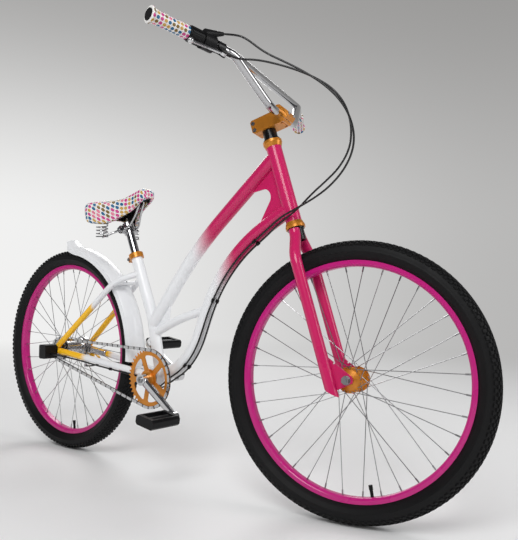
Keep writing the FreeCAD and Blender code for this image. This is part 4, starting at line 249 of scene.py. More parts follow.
class Value:
    """A socket that takes part in arithmetic, so that node maths reads as a formula."""

    def __init__(self, graph: Graph, socket: bpy.types.NodeSocket) -> None:
        """Wrap an output socket of a tree."""
        self.graph = graph
        self.socket = socket

    def math(self, operation: str, *items: Any) -> Value:
        """Add one Math node for an operation on some items and return its result."""
        return self.graph.value(0, "ShaderNodeMath", {"operation": operation}, dict(enumerate(items)))

    def __add__(self, other: Any) -> Value:
        """Add."""
        return self.math("ADD", self, other)

    __radd__ = __add__

    def __sub__(self, other: Any) -> Value:
        """Subtract."""
        return self.math("SUBTRACT", self, other)

    def __rsub__(self, other: Any) -> Value:
        """Subtract from a number."""
        return self.math("SUBTRACT", other, self)

    def __mul__(self, other: Any) -> Value:
        """Multiply."""
        return self.math("MULTIPLY", self, other)

    __rmul__ = __mul__

    def __truediv__(self, other: Any) -> Value:
        """Divide."""
        return self.math("DIVIDE", self, other)

    def __rtruediv__(self, other: Any) -> Value:
        """Divide a number."""
        return self.math("DIVIDE", other, self)

    def __gt__(self, other: Any) -> Value:
        """Return 1 where the value is greater."""
        return self.math("GREATER_THAN", self, other)

    def floor(self) -> Value:
        """Round down."""
        return self.math("FLOOR", self)

    def root(self) -> Value:
        """Take the square root."""
        return self.math("SQRT", self)

    def sine(self) -> Value:
        """Take the sine."""
        return self.math("SINE", self)

    def ramp(self, low: float, high: float) -> Value:
        """Go smoothly from 0 at low to 1 at high."""
        inputs = {"Value": self, "From Min": low, "From Max": high}
        return self.graph.value(0, "ShaderNodeMapRange", {"interpolation_type": "SMOOTHSTEP"}, inputs)


class Shader(Graph):
    """One procedural material around a Principled shader."""

    LABELS = ("Metallic", "Roughness", "Coat Weight", "Coat Roughness", "Specular IOR Level")

    def __init__(self, name: str, finish: Finish) -> None:
        """Start a material.

        Args:
            name: Material name.
            finish: Settings that are the same all over.
        """
        self.material = bpy.data.materials.new(name)
        self.material.use_nodes = True
        super().__init__(self.material.node_tree)
        self.surface = self.tree.nodes["Principled BSDF"]
        for label, amount in zip(self.LABELS, astuple(finish)):
            self.surface.inputs[label].default_value = amount
        self.place = self.node("ShaderNodeTexCoord")

    def axes(self, source: str = "Object") -> list[Value]:
        """Split the Object or UV coordinate into its three parts."""
        split = self.node("ShaderNodeSeparateXYZ", inputs={0: self.place.outputs[source]})
        return [Value(self, out) for out in split.outputs]

    def noise(self, grain: Grain) -> Value:
        """Add noise over the object's own coordinates.

        Args:
            grain: Its scale, octaves and stretch.

        Returns:
            The field, about 0 to 1.
        """
        place = self.place.outputs["Object"]
        aim = self.node("ShaderNodeMapping", inputs={"Vector": place, "Scale": grain.stretch})
        inputs = {"Vector": aim.outputs[0], "Scale": grain.scale, "Detail": grain.detail}
        return self.value("Fac", "ShaderNodeTexNoise", inputs=inputs)

    def worn(self, grain: Grain, first: Any, second: Any) -> tuple[Value, Value, Value]:
        """Vary two colours and the roughness by one noise field, and return field, colour and roughness."""
        field = self.noise(grain)
        return field, self.mix(field * grain.share, first, second), field * grain.rough + grain.base

    def dress(self, colour: Any, roughness: Value, height: Value, depth: float) -> bpy.types.Material:
        """Join the fields to the surface.

        Args:
            colour: Base colour.
            roughness: Roughness field.
            height: Height field of the bump, about 0 to 1.
            depth: Height of 1, in metres.

        Returns:
            The finished material.
        """
        bump = self.node("ShaderNodeBump", inputs={"Distance": depth, "Height": height})
        self.feed(self.surface.inputs["Base Color"], colour)
        self.feed(self.surface.inputs["Roughness"], roughness)
        self.feed(self.surface.inputs["Normal"], bump.outputs["Normal"])
        return self.material


@dataclass(frozen=True)
class Fade:
    """Paint that fades from one colour to another along the bicycle, with a sprayed edge."""

    first: Paint
    second: Paint
    low: float
    high: float
    axis: Axis = Axis.ALONG
    spray: Grain = Grain(900.0, 1.0, 0.05)

    def colour(self, shader: Shader) -> Value:
        """Build the colour inside a shader.

        Args:
            shader: The material being made.

        Returns:
            The colour.
        """
        spray = (shader.noise(self.spray) - HALF) * ((self.high - self.low) * self.spray.share)
        place = shader.axes()[self.axis.value] + spray
        return shader.mix(place.ramp(self.low, self.high), self.first, self.second)


@dataclass(frozen=True)
class GlossPaint:
    """Clear-coated paint with a faint haze and orange peel."""

    name: str
    tint: Paint | Fade
    finish: Finish = Finish(coat=0.4, coat_roughness=0.04, specular=0.3)
    haze: Grain = Grain(12.0, 3.0, 0.008, 0.12, 0.22)
    peel: Grain = Grain(380.0, 1.0)
    depth: float = 0.00001

    def make(self) -> bpy.types.Material:
        """Build the material.

        Returns:
            The material.
        """
        shader = Shader(self.name, self.finish)
        tint = self.tint.colour(shader) if isinstance(self.tint, Fade) else self.tint
        _, colour, rough = shader.worn(self.haze, tint, Paint.HAZE)
        return shader.dress(colour, rough, shader.noise(self.peel), self.depth)


@dataclass(frozen=True)
class BareMetal:
    """Polished, plated or anodised metal with fine grain and darker patches."""

    name: str
    tint: Paint
    finish: Finish
    dull: float = 0.7
    depth: float = 0.00001
    grain: Grain = Grain(240.0, 3.0, rough=0.08, stretch=(1.0, 6.0, 1.0))
    patch: Grain = Grain(28.0, share=0.5, rough=0.06)
    patch_span: Row = (0.42, 0.8)

    def make(self) -> bpy.types.Material:
        """Build the material.

        Returns:
            The material.
        """
        shader = Shader(self.name, self.finish)
        grain, patch = shader.noise(self.grain), shader.noise(self.patch)
        dark = tuple(part * self.dull for part in self.tint.value)
        colour = shader.mix(patch.ramp(*self.patch_span) * self.patch.share, self.tint, dark)
        base = max(self.finish.roughness - self.patch.rough, 0.0)
        rough = grain * self.grain.rough + patch * self.patch.rough + base
        return shader.dress(colour, rough, grain, self.depth)


@dataclass(frozen=True)
class ChainSteel:
    """Bright outer plates over inner plates and rollers painted darker, for oil and for painted shade where
    they sit back, told apart by their place across the chain.
    """

    name: str
    finish: Finish = Finish(metallic=1.0)
    line: float = -0.0485
    outer: float = 0.00285
    oil: Grain = Grain(160.0, 2.0, 0.5, 0.2, 0.18)
    depth: float = 0.00001

    def make(self) -> bpy.types.Material:
        """Build the material.

        Returns:
            The material.
        """
        shader = Shader(self.name, self.finish)
        across = shader.axes()[Axis.ACROSS.value] - self.line
        # Inner plates and rollers get a darker colour: partly oil, partly painted shade between the outer
        # plates.
        plate = (across * across).root() > self.outer
        oil, bright, rough = shader.worn(self.oil, Paint.SILVER, Paint.STEEL)
        return shader.dress(shader.mix(plate, Paint.OILED, bright), rough, oil, self.depth)


@dataclass(frozen=True)
class Moulding:
    """Black moulded plastic with a fine grain."""

    name: str
    finish: Finish
    patch: Grain = Grain(25.0, 2.0, 0.5, 0.14, -0.06)
    grain: Grain = Grain(1400.0)
    depth: float = 0.00008

    def make(self) -> bpy.types.Material:
        """Build the material.

        Returns:
            The material.
        """
        shader = Shader(self.name, self.finish)
        _, colour, rough = shader.worn(self.patch, Paint.BLACK, Paint.GREY_BLACK)
        return shader.dress(colour, rough + self.finish.roughness, shader.noise(self.grain), self.depth)


@dataclass(frozen=True)
class TyreRubber:
    """Tyre rubber with fine moulded rings on its flanks and a dusty bloom."""

    name: str
    finish: Finish = Finish(specular=0.22)
    ring_pitch: float = 0.0024
    ring_share: float = 0.5
    tread_edge: float = 0.322
    edge_width: float = 0.004
    dust: Grain = Grain(40.0, 4.0, 0.6, 0.22, 0.46)
    grain: Grain = Grain(900.0, share=0.4)
    depth: float = 0.00018

    def make(self) -> bpy.types.Material:
        """Build the material.

        Returns:
            The material.
        """
        shader = Shader(self.name, self.finish)
        radius = shader.axes("UV")[1]
        rings = (radius * (math.tau / self.ring_pitch)).sine() * HALF + HALF
        flank = radius.ramp(self.tread_edge + self.edge_width, self.tread_edge)
        _, colour, rough = shader.worn(self.dust, Paint.RUBBER, Paint.DUST)
        height = rings * flank * self.ring_share + shader.noise(self.grain) * self.grain.share
        return shader.dress(colour, rough, height, self.depth)


@dataclass(frozen=True)
class DottedCover:
    """White cover printed with rows of round dots in mixed colours, one dot for each unit of the UV map."""

    name: str
    finish: Finish
    radius: float = 0.41
    edge: float = 0.03
    seed: float = 5.0
    wear: Grain = Grain(60.0, 3.0, 0.3, 0.16, 0.34)
    weave: Grain = Grain(700.0, 3.0, 0.8)
    print_share: float = 0.2
    depth: float = 0.00012
    dots: tuple[tuple[float, Paint], ...] = (
        (0.27, Paint.DOT_BLUE), (0.52, Paint.DOT_GOLD), (0.76, Paint.DOT_OLIVE), (0.92, Paint.DOT_ROSE),
    )

    def make(self) -> bpy.types.Material:
        """Build the material.

        Returns:
            The material.
        """
        shader = Shader(self.name, self.finish)
        u, v, _ = shader.axes("UV")
        column, row = u.floor(), v.floor()
        across, along = u - column - HALF, v - row - HALF
        reach = (across * across + along * along).root()
        inside = reach.ramp(self.radius + self.edge, self.radius - self.edge)
        cell = shader.node("ShaderNodeCombineXYZ", inputs={0: column, 1: row, 2: self.seed})
        chance = shader.value("Value", "ShaderNodeTexWhiteNoise", inputs={"Vector": cell.outputs[0]})
        tint: Any = Paint.DOT_PINK
        for share, paint in self.dots:
            tint = shader.mix(chance > share, tint, paint)
        _, cloth, rough = shader.worn(self.wear, Paint.CLOTH, Paint.CLOTH_SHADE)
        height = shader.noise(self.weave) * self.weave.share + inside * self.print_share
        return shader.dress(shader.mix(inside, cloth, tint), rough, height, self.depth)


class Looks:
    """All finishes, made once and shared, each with the CAD nodes that wear it."""

    WORN_BY: tuple[tuple[Any, tuple[str, ...]], ...] = (
        (GlossPaint("pink_paint", Paint.PINK), ("head_tube", "fork_blades")),
        (GlossPaint("white_paint", Paint.WHITE), (
            "bottom_bracket_shell", "seat_tube", "brace_tube", "rear_fender",
        )),
        (GlossPaint("top_tube_fade", Fade(Paint.WHITE, Paint.PINK, 0.030, 0.112)), ("top_tube",)),
        (GlossPaint("down_tube_fade", Fade(Paint.WHITE, Paint.PINK, 0.120, 0.200)), ("down_tube",)),
        (GlossPaint("gusset_fade", Fade(Paint.WHITE, Paint.PINK, 0.070, 0.130)), ("frame_gussets",)),
        (GlossPaint("seat_stay_fade", Fade(Paint.YELLOW, Paint.WHITE, -0.374, -0.358)), ("seat_stays",)),
        (GlossPaint("chain_stay_fade", Fade(Paint.YELLOW, Paint.WHITE, -0.424, -0.388)), ("chain_stays",)),
        (GlossPaint("yellow_paint", Paint.YELLOW), ("rear_dropouts",)),
        (GlossPaint("rim_paint", Paint.MAGENTA), ("front_rim", "rear_rim")),
        (BareMetal("orange_anodised", Paint.ORANGE, Finish(0.5, 0.34, 0.2, 0.2)), (
            "headset_cups", "seat_collar", "chainring", "front_hub", "stem",
        )),
        (BareMetal("polished_alloy", Paint.SILVER, Finish(1.0, 0.18)), (
            "crank_arms", "brake_lever", "rear_brake_unit", "rear_hub",
        )),
        (BareMetal("chrome_plate", Paint.CHROME, Finish(1.0, 0.06), 0.86, 0.000002), (
            "handlebar", "seat_post", "saddle_clamp", "saddle_rails", "saddle_springs",
        )),
        (BareMetal("bright_steel", Paint.STEEL, Finish(1.0, 0.3)), (
            "headset_bearings", "frame_bolts", "bottom_bracket_cups", "rear_axle_set", "front_axle_set",
            "rear_sprocket", "crank_spindle", "pedal_axles", "rear_spokes", "front_spokes", "stem_bolts",
        )),
        (ChainSteel("chain_steel"), ("chain",)),
        (BareMetal("black_anodised", Paint.BLACK, Finish(0.4, 0.32, 0.2, 0.2)), (
            "fork_steerer", "steerer_spacer", "lever_clamp",
        )),
        (Moulding("black_moulding", Finish(0.0, 0.42, specular=0.22)), (
            "shift_box", "right_pedal", "left_pedal", "grip_plugs", "shift_grip", "shifter_housing",
            "saddle_shell", "cable_clips", "front_inner_tube", "rear_inner_tube",
        )),
        (Moulding("cable_jacket", Finish(0.0, 0.3)), ()),
        (TyreRubber("tyre_rubber"), ()),
        (DottedCover("dotted_cover", Finish(coat=0.1, coat_roughness=0.3)), ()),
        (DottedCover("dotted_grip", Finish(coat=0.15, coat_roughness=0.25)), ()),
    )

    def __init__(self) -> None:
        """Make the materials."""
        self.made = {finish.name: finish.make() for finish, _ in self.WORN_BY}

    def __getitem__(self, name: str) -> bpy.types.Material:
        """Return a material by its name."""
        return self.made[name]

    def dress_nodes(self, nodes: dict[str, bpy.types.Object]) -> None:
        """Give every CAD node its finish.

        Args:
            nodes: CAD objects by name.
        """
        for finish, names in self.WORN_BY:
            for name in names:
                data = nodes[name].data
                data.materials.clear()
                data.materials.append(self.made[finish.name])


def smooth(data: bpy.types.Mesh, angle: float) -> None:
    """Shade a mesh smooth, apart from edges over an angle in degrees."""
    data.shade_smooth()
    data.set_sharp_from_angle(angle=math.radians(angle))


def linked(name: str, data: Any) -> bpy.types.Object:
    """Make an object and link it to the scene.

    Args:
        name: Its name.
        data: Its mesh, curve, light or camera.

    Returns:
        The object.
    """
    item = bpy.data.objects.new(name, data)
    bpy.context.scene.collection.objects.link(item)
    return item


def new_piece(
    name: str, data: bpy.types.Mesh, material: bpy.types.Material, place: Matrix | None = None
) -> bpy.types.Object:
    """Link a piece at the origin, with its place in its mesh.

    Args:
        name: Piece name.
        data: Its mesh.
        material: Its material.
        place: Where its mesh goes.

    Returns:
        The piece.
    """
    if place is not None:
        data.transform(place)
    data.materials.clear()
    data.materials.append(material)
    LOG.info("made %s", name)
    return linked(name, data)


def finish_mesh(shape: bmesh.types.BMesh, name: str) -> bpy.types.Mesh:
    """Turn a shape's faces outwards and keep it as a mesh.

    Args:
        shape: Shape to keep, freed afterwards.
        name: Mesh name.

    Returns:
        The mesh.
    """
    bmesh.ops.recalc_face_normals(shape, faces=shape.faces)
    data = bpy.data.meshes.new(name)
    shape.to_mesh(data)
    shape.free()
    return data


def evaluated_mesh(piece: bpy.types.Object) -> bpy.types.Mesh:
    """Return a plain mesh of an object with its modifiers or bevel carried out.

    Args:
        piece: Object to read, removed afterwards.

    Returns:
        Its mesh.
    """
    bpy.context.view_layer.update()
    graph = bpy.context.evaluated_depsgraph_get()
    data = bpy.data.meshes.new_from_object(piece.evaluated_get(graph))
    bpy.data.objects.remove(piece)
    return data


def lathe(name: str, rows: Sequence[Row], steps: int, unwrap: Callable[[float, Row], Row]) -> bpy.types.Mesh:
    """Turn a closed outline about the Y axis.

    Args:
        name: Mesh name.
        rows: Outline as radius and place along Y, in metres.
        steps: Copies round the axis.
        unwrap: Gives the UV from the share of a turn and the row.

    Returns:
        A closed mesh with a UV map.
    """
    shape = bmesh.new()
    layer = shape.loops.layers.uv.new("UVMap")
    count = len(rows)
    rings = []
    for k in range(steps):
        angle = math.tau * k / steps
        rings.append([shape.verts.new((r * math.cos(angle), s, r * math.sin(angle))) for r, s in rows])
    for k in range(steps):
        for j in range(count):
            corners = ((k, j), (k, j + 1), (k + 1, j + 1), (k + 1, j))
            face = shape.faces.new([rings[a % steps][b % count] for a, b in corners])
            for loop, (a, b) in zip(face.loops, corners):
                loop[layer].uv = unwrap(a / steps, rows[b % count])
    return finish_mesh(shape, name)


def aim_along(way: Vector) -> Matrix:
    """Return the turn that takes the Y axis to a way."""
    return Vector((0.0, 1.0, 0.0)).rotation_difference(way.normalized()).to_matrix().to_4x4()


class RingOfBlocks(Graph):
    """Geometry Nodes tree that repeats an object's own mesh round its Y axis."""

    def __init__(self) -> None:
        """Build the tree once."""
        super().__init__(bpy.data.node_groups.new("ring_of_blocks", "GeometryNodeTree"))
        face = self.tree.interface
        face.new_socket("Geometry", in_out="INPUT", socket_type="NodeSocketGeometry")
        self.count = face.new_socket("Count", in_out="INPUT", socket_type="NodeSocketInt").identifier
        self.finish = face.new_socket("Finish", in_out="INPUT", socket_type="NodeSocketMaterial").identifier
        face.new_socket("Geometry", in_out="OUTPUT", socket_type="NodeSocketGeometry")
        given = self.node("NodeGroupInput")
        share = self.value(0, "GeometryNodeInputIndex") / given.outputs["Count"]
        turn = self.node("ShaderNodeCombineXYZ", inputs={"Y": share * math.tau})
        points = self.node("GeometryNodePoints", inputs={"Count": given.outputs["Count"]})
        spread = self.node("GeometryNodeInstanceOnPoints", inputs={
            "Points": points.outputs[0], "Instance": given.outputs["Geometry"], "Rotation": turn.outputs[0],
        })
        real = self.node("GeometryNodeRealizeInstances", inputs={0: spread.outputs[0]})
        dressed = self.node("GeometryNodeSetMaterial", inputs={
            "Geometry": real.outputs[0], "Material": given.outputs["Finish"],
        })
        self.node("NodeGroupOutput", inputs={0: dressed.outputs[0]})

    def spread(self, sector: bpy.types.Mesh, count: int, finish: bpy.types.Material) -> bpy.types.Mesh:
        """Repeat a sector round the Y axis.

        Args:
            sector: Mesh of one pitch.
            count: Copies in a full turn.
            finish: Material of the copies.

        Returns:
            The whole ring as a plain mesh.
        """
        seed = linked("sector", sector)
        modifier = seed.modifiers.new("ring_of_blocks", "NODES")
        modifier.node_group = self.tree
        modifier[self.count] = count
        modifier[self.finish] = finish
        return evaluated_mesh(seed)


@dataclass(frozen=True)
class Tyres:
    """Balloon tyres: a moulded casing and rows of tread blocks, sizes in millimetres."""

    looks: Looks
    copies: RingOfBlocks
    casing: tuple[Row, ...] = (
        (282.0, 12.4), (287.4, 13.2), (288.6, 16.0), (291.4, 18.4), (293.0, 20.8), (294.6, 22.4),
        (299.0, 26.2), (304.6, 28.8), (305.0, 29.3), (307.0, 29.7), (307.4, 29.3), (312.0, 29.3),
        (317.0, 28.4), (322.5, 26.0), (327.0, 21.8), (330.2, 16.0), (332.2, 9.0), (333.0, 0.0),
    )
    bead: float = 282.0
    wall: float = 3.2
    top: float = 336.8
    block_height: float = 3.4
    sink: float = 1.2
    taper: float = 0.8
    bevel: float = 0.45
    pitches: int = 126
    steps: int = 180
    least_lean: float = 0.3
    box_faces: tuple[tuple[int, ...], ...] = (
        (3, 2, 1, 0), (4, 5, 6, 7), (0, 1, 5, 4), (1, 2, 6, 5), (2, 3, 7, 6), (3, 0, 4, 7),
    )
    sharp: float = 50.0
    blocks: tuple[Block, ...] = (
        Block(0.0, 5.0, 3.4, 0.25),
        Block(-6.6, 4.6, 3.0, 0.75, 0.35), Block(6.6, 4.6, 3.0, 0.75, -0.35),
        Block(-13.4, 5.0, 2.9, 0.25, 0.2), Block(13.4, 5.0, 2.9, 0.25, -0.2),
        Block(-19.6, 4.6, 2.8, 0.75), Block(19.6, 4.6, 2.8, 0.75),
        Block(-25.4, 5.4, 2.6, 0.25), Block(25.4, 5.4, 2.6, 0.25),
    )

    def outline(self) -> list[Row]:
        """Draw the casing's closed outline.

        Returns:
            Radius and place across the tyre, in metres.
        """
        outer = list(self.casing) + [(r, -s) for r, s in reversed(self.casing[:-1])]
        crown = self.casing[-1][0]
        inner = []
        for r, s in reversed(outer):
            share = (r - self.bead) / (crown - self.bead)
            inner.append((r - self.wall * share, math.copysign(max(abs(s) - self.wall, 0.0), s)))
        return [(r * MM, s * MM) for r, s in outer + inner]

    def skin(self, side: float) -> tuple[float, float]:
        """Find the casing's skin at a place across the tread.

        Args:
            side: Place across the tyre.

        Returns:
            Radius, and lean of the outward way in radians.
        """
        rows = self.casing[::-1]
        for (r0, s0), (r1, s1) in zip(rows, rows[1:]):
            if s0 <= abs(side) <= s1:
                share = (abs(side) - s0) / (s1 - s0)
                return r0 + (r1 - r0) * share, math.copysign(math.atan2(r0 - r1, s1 - s0), side)
        raise ValueError(f"no tread at {side} mm")

    def sector(self) -> bpy.types.Mesh:
        """Make one pitch of the tread, every block once, with the radius as its UV.

        Returns:
            Its mesh.
        """
        shape = bmesh.new()
        step = math.tau / self.pitches
        for block in self.blocks:
            radius, lean = self.skin(block.side)
            normal = Vector((math.cos(lean), math.sin(lean), 0.0))
            across = Vector((-math.sin(lean), math.cos(lean), 0.0))
            rise = min(self.block_height, (self.top - radius) / max(math.cos(lean), self.least_lean))
            foot = Vector((radius, block.side, 0.0)) - normal * self.sink
            turn = Matrix.Rotation(-block.phase * step, 4, "Y")
            verts = []
            for height, scale in ((0.0, 1.0), (rise + self.sink, self.taper)):
                for a, b in ((-1, -1), (1, -1), (1, 1), (-1, 1)):
                    run = Vector((0.0, 0.0, (block.length * a + block.width * b * block.skew) * scale))
                    corner = foot + normal * height + across * (block.width * b * scale) + run
                    verts.append(shape.verts.new(turn @ (corner * MM)))
            for ids in self.box_faces:
                shape.faces.new([verts[i] for i in ids])
        bmesh.ops.bevel(shape, geom=list(shape.edges), offset=self.bevel * MM, segments=1, affect="EDGES")
        layer = shape.loops.layers.uv.new("UVMap")
        for face in shape.faces:
            for loop in face.loops:
                loop[layer].uv = (0.0, self.top * MM)
        return finish_mesh(shape, "tread_sector")

    def build(self, wheel: Wheel, joint: dict[str, Any]) -> None:
        """Make one wheel's casing and tread.

        Args:
            wheel: Which wheel.
            joint: The wheel's spin joint.
        """
        place = Matrix.Translation(Vector(joint["pos_m"])) @ aim_along(Vector(joint["axis"]))
        rubber = self.looks["tyre_rubber"]
        name = f"{wheel.value}_tyre"
        body = lathe(f"{wheel.value}_casing", self.outline(), self.steps, lambda turn, row: (turn, row[0]))
        casing = new_piece(f"{name}_casing", body, rubber, place)
        smooth(casing.data, self.sharp)
        ring = self.copies.spread(self.sector(), self.pitches, rubber)
        tread = new_piece(f"{name}_tread", ring, rubber, place)
        for piece in (casing, tread):
            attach(piece, joint["child"])
            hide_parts(f"{wheel.value}_tyre")


@dataclass(frozen=True)
class Saddle:
    """Padded saddle cover: a crowned closed form, hollow below, sizes in millimetres."""

    looks: Looks
    post_top: Point = (-269.25, 0.0, 745.66)
    stations: tuple[Station, ...] = (
        Station(-112.0, 85.0, 73.0, 24.0),
        Station(-80.0, 101.0, 82.0, 5.0),
        Station(-30.0, 70.0, 83.0, 4.0),
        Station(10.0, 43.0, 89.0, 24.0),
        Station(45.0, 29.0, 103.0, 45.0),
        Station(80.0, 27.0, 112.0, 68.0),
        Station(102.0, 20.0, 103.0, 80.0),
    )
    between: int = 6
    flank_points: int = 8
    roof_points: int = 14
    flank: float = 5.8
    wall: float = 13.6
    edge_share: float = 0.86
    foot_share: float = 0.94
    shoulder_share: float = 0.72
    crown_share: float = 0.15
    rounding: float = 10.0
    end_shares: tuple[float, ...] = (0.72, 0.93)
    pitch: float = 12.4
    fold: float = 7.5
    fold_points: int = 5
    fold_run: int = 2
    least_share: float = 0.25
    least_half: float = 2.0
    inset_share: float = 0.4
    inset_top_share: float = 0.6
    levels: int = 2

    def spine(self) -> list[Station]:
        """Lay close stations on a smooth line through the given ones, drawn in at both ends.

        Returns:
            The stations.
        """
        rows, made = self.stations, []
        for k in range(len(rows) - 1):
            near = [rows[max(k - 1, 0)], rows[k], rows[k + 1], rows[min(k + 2, len(rows) - 1)]]
            made += [self.blend(near, j / self.between) for j in range(self.between)]
        made.append(rows[-1])
        return [self.drawn_in(row) for row in made]

    def blend(self, near: Sequence[Station], share: float) -> Station:
        """Find the station between the middle two of four.

        Args:
            near: Four stations in a row.
            share: Place between the middle two.

        Returns:
            The station there.
        """
        t = share
        weights = (2 * t**3 - 3 * t**2 + 1, 3 * t**2 - 2 * t**3, t**3 - 2 * t**2 + t, t**3 - t**2)
        sizes = []
        for a, b, c, d in zip(*(astuple(row) for row in near)):
            ends = (b, c, (c - a) / 2, (d - b) / 2)
            sizes.append(sum(weight * end for weight, end in zip(weights, ends)))
        return Station(*sizes)

    def drawn_in(self, row: Station) -> Station:
        """Round the cover's ends by drawing in the stations near them.

        Args:
            row: A station.

        Returns:
            The same or a smaller station.
        """
        gap = min(row.ahead - self.stations[0].ahead, self.stations[-1].ahead - row.ahead)
        if gap >= self.rounding:
            return row
        inset = self.rounding - math.sqrt(self.rounding**2 - (self.rounding - gap) ** 2)
        inset = min(inset, row.half * self.inset_share)
        return Station(row.ahead, row.half - inset, row.top - inset * self.inset_top_share, row.low)

    def arch(self, row: Station, flank: float, wall: float, shift: float) -> list[Vector]:
        """Draw one cross-section from its left foot over the crown to its right foot.

        Args:
            row: The station.
            flank: How far the flanks are drawn in.
            wall: How far the roof is let down.
            shift: How far the section moves along the saddle.

        Returns:
            Points in metres.
        """
        half = max(row.half - flank, self.least_half)
        brink = row.top - wall - (row.top - row.low) * self.crown_share
        middle = row.low + (brink - row.low) * self.shoulder_share
        foot, side, edge = half * self.foot_share, half, half * self.edge_share
        left = self.arc((foot, row.low), (side, middle), (edge, brink), self.flank_points)
        if flank:
            steps = [max(self.fold_points - k, 0) / self.fold_run for k in range(len(left))]
            tucks = [self.fold * min(step, 1.0) for step in steps]
            left = [(max(y - tuck, y * self.least_share), z) for (y, z), tuck in zip(left, tucks)]
        roof = self.arc((edge, brink), (0.0, row.top - wall), (-edge, brink), self.roof_points)
        right = [(-y, z) for y, z in reversed(left)]
        rows = left[:-1] + roof[:-1] + right
        origin = Vector(self.post_top)
        return [(origin + Vector((row.ahead + shift, y, z))) * MM for y, z in rows]

    @staticmethod
    def arc(first: Row, middle: Row, last: Row, count: int) -> list[Row]:
        """Draw a smooth curve through three points.

        Args:
            first: Its start.
            middle: A point that it passes halfway.
            last: Its end.
            count: Number of steps.

        Returns:
            Points along the curve, both ends among them.
        """
        handle = [2 * m - (a + b) / 2 for a, m, b in zip(first, middle, last)]
        made = []
        for k in range(count + 1):
            t = k / count
            made.append(tuple(
                (1 - t) ** 2 * a + 2 * t * (1 - t) * h + t**2 * b for a, h, b in zip(first, handle, last)
            ))
        return made

    def build(self) -> None:
        """Make the cover."""
        rows = self.spine()
        last = len(rows) - 1
        shifts = [self.flank * ((k == 0) - (k == last)) for k in range(last + 1)]
        outer = self.with_ends([self.arch(row, 0.0, 0.0, 0.0) for row in rows])
        lining = [self.arch(row, self.flank, self.wall, shift) for row, shift in zip(rows, shifts)]
        shape = bmesh.new()
        layer = shape.loops.layers.uv.new("UVMap")
        maps: dict[bmesh.types.BMVert, Row] = {}
        skins = [self.skin(shape, arches, maps) for arches in (outer, self.with_ends(lining))]
        self.hem(shape, *skins)
        for face in shape.faces:
            for loop in face.loops:
                loop[layer].uv = maps[loop.vert]
        self.map_ends(skins[0], maps, layer)
        pad = new_piece("saddle_pad", finish_mesh(shape, "saddle_pad"), self.looks["dotted_cover"])
        pad.data.shade_smooth()
        soften = pad.modifiers.new("soften", "SUBSURF")
        soften.levels = soften.render_levels = self.levels
        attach(pad, "saddle")
        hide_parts("saddle_cover")

    @staticmethod
    def lengths(line: Sequence[Vector]) -> list[float]:
        """Return how far each point of a line lies along it from its middle point."""
        made = list(accumulate(((b - a).length for a, b in zip(line, line[1:])), initial=0.0))
        return [part - made[len(line) // 2] for part in made]

    def column(self, line: Sequence[Vector]) -> list[float]:
        """Measure each point's place along the saddle, stretched over the rounded ends.

        Args:
            line: Points from the tail to the nose.

        Returns:
            One place for each point.
        """
        tail, nose = line[0].x + self.rounding * MM, line[-1].x - self.rounding * MM
        surface = self.lengths(line)
        first = next(k for k, point in enumerate(line) if point.x >= tail)
        final = max(k for k, point in enumerate(line) if point.x <= nose)
        steady = [min(max(k, first), final) for k in range(len(line))]
        return [line[at].x + surface[k] - surface[at] for k, at in enumerate(steady)]

    def skin(
        self, shape: bmesh.types.BMesh, arches: list[list[Vector]], maps: dict[Any, Row]
    ) -> list[list[Any]]:
        """Lay one skin over a row of arches, with both ends closed.

        Args:
            shape: Shape being made.
            arches: Cross-sections.
            maps: Takes each vertex's UV, in dots from the middle of the crown.

        Returns:
            The skin's vertices, row by row.
        """
        count = len(arches[0])
        crown = count // 2
        runs = [self.column(line) for line in zip(*arches)]
        rows = []
        for k, arch in enumerate(arches):
            row = [shape.verts.new(point) for point in arch]
            for vert, run, reach in zip(row, runs, self.lengths(arch)):
                maps[vert] = (run[k] / (self.pitch * MM), reach / (self.pitch * MM))
            rows.append(row)
        for a, b in zip(rows, rows[1:]):
            for j in range(count - 1):
                shape.faces.new([a[j], b[j], b[j + 1], a[j + 1]])
        for row in (rows[0], rows[-1]):
            for j in range(crown):
                ids = (j, j + 1, count - 2 - j, count - 1 - j)
                shape.faces.new([row[i] for i in dict.fromkeys(ids)])
        return rows

    def with_ends(self, arches: list[list[Vector]]) -> list[list[Vector]]:
        """Add smaller rings of the first and the last arch, which fill the ends."""
        ends = [[self.smaller(arches[at], share) for share in self.end_shares] for at in (0, -1)]
        return ends[0] + arches + ends[1][::-1]

    @staticmethod
    def smaller(arch: list[Vector], share: float) -> list[Vector]:
        """Return an arch drawn in to a share of its size, on the same foot."""
        low = arch[0].z
        return [Vector((point.x, point.y * share, low + (point.z - low) * share)) for point in arch]

    def map_ends(self, rows: list[list[Any]], maps: dict[Any, Row], layer: Any) -> None:
        """Carry the dots over the tail and the nose, down from their crowns.

        Args:
            rows: Vertices of the outer skin.
            maps: Each vertex's UV.
            layer: UV layer.
        """
        count = len(self.end_shares) + 1
        crown = len(rows[0]) // 2
        tail, nose = (rows[:count], rows[count - 1], -1.0), (rows[-count:], rows[-count], 1.0)
        for group, edge, way in (tail, nose):
            verts = {vert for row in group for vert in row}
            faces = {face for vert in verts for face in vert.link_faces if verts.issuperset(face.verts)}
            start, top = maps[edge[crown]][0], edge[crown].co.z
            for face in faces:
                for loop in face.loops:
                    drop = (top - loop.vert.co.z) / (self.pitch * MM)
                    loop[layer].uv = (start + way * drop, -loop.vert.co.y / (self.pitch * MM))

    @staticmethod
    def hem(shape: bmesh.types.BMesh, outer: list[list[Any]], inner: list[list[Any]]) -> None:
        """Join the two skins round the cover's open foot.

        Args:
            shape: Shape being made.
            outer: Vertices of the outer skin.
            inner: Vertices of the inner skin.
        """
        ring, lining = (
            [row[0] for row in rows] + [row[-1] for row in reversed(rows)] for rows in (outer, inner)
        )
        for k in range(len(ring)):
            n = (k + 1) % len(ring)
            shape.faces.new([ring[k], ring[n], lining[n], lining[k]])


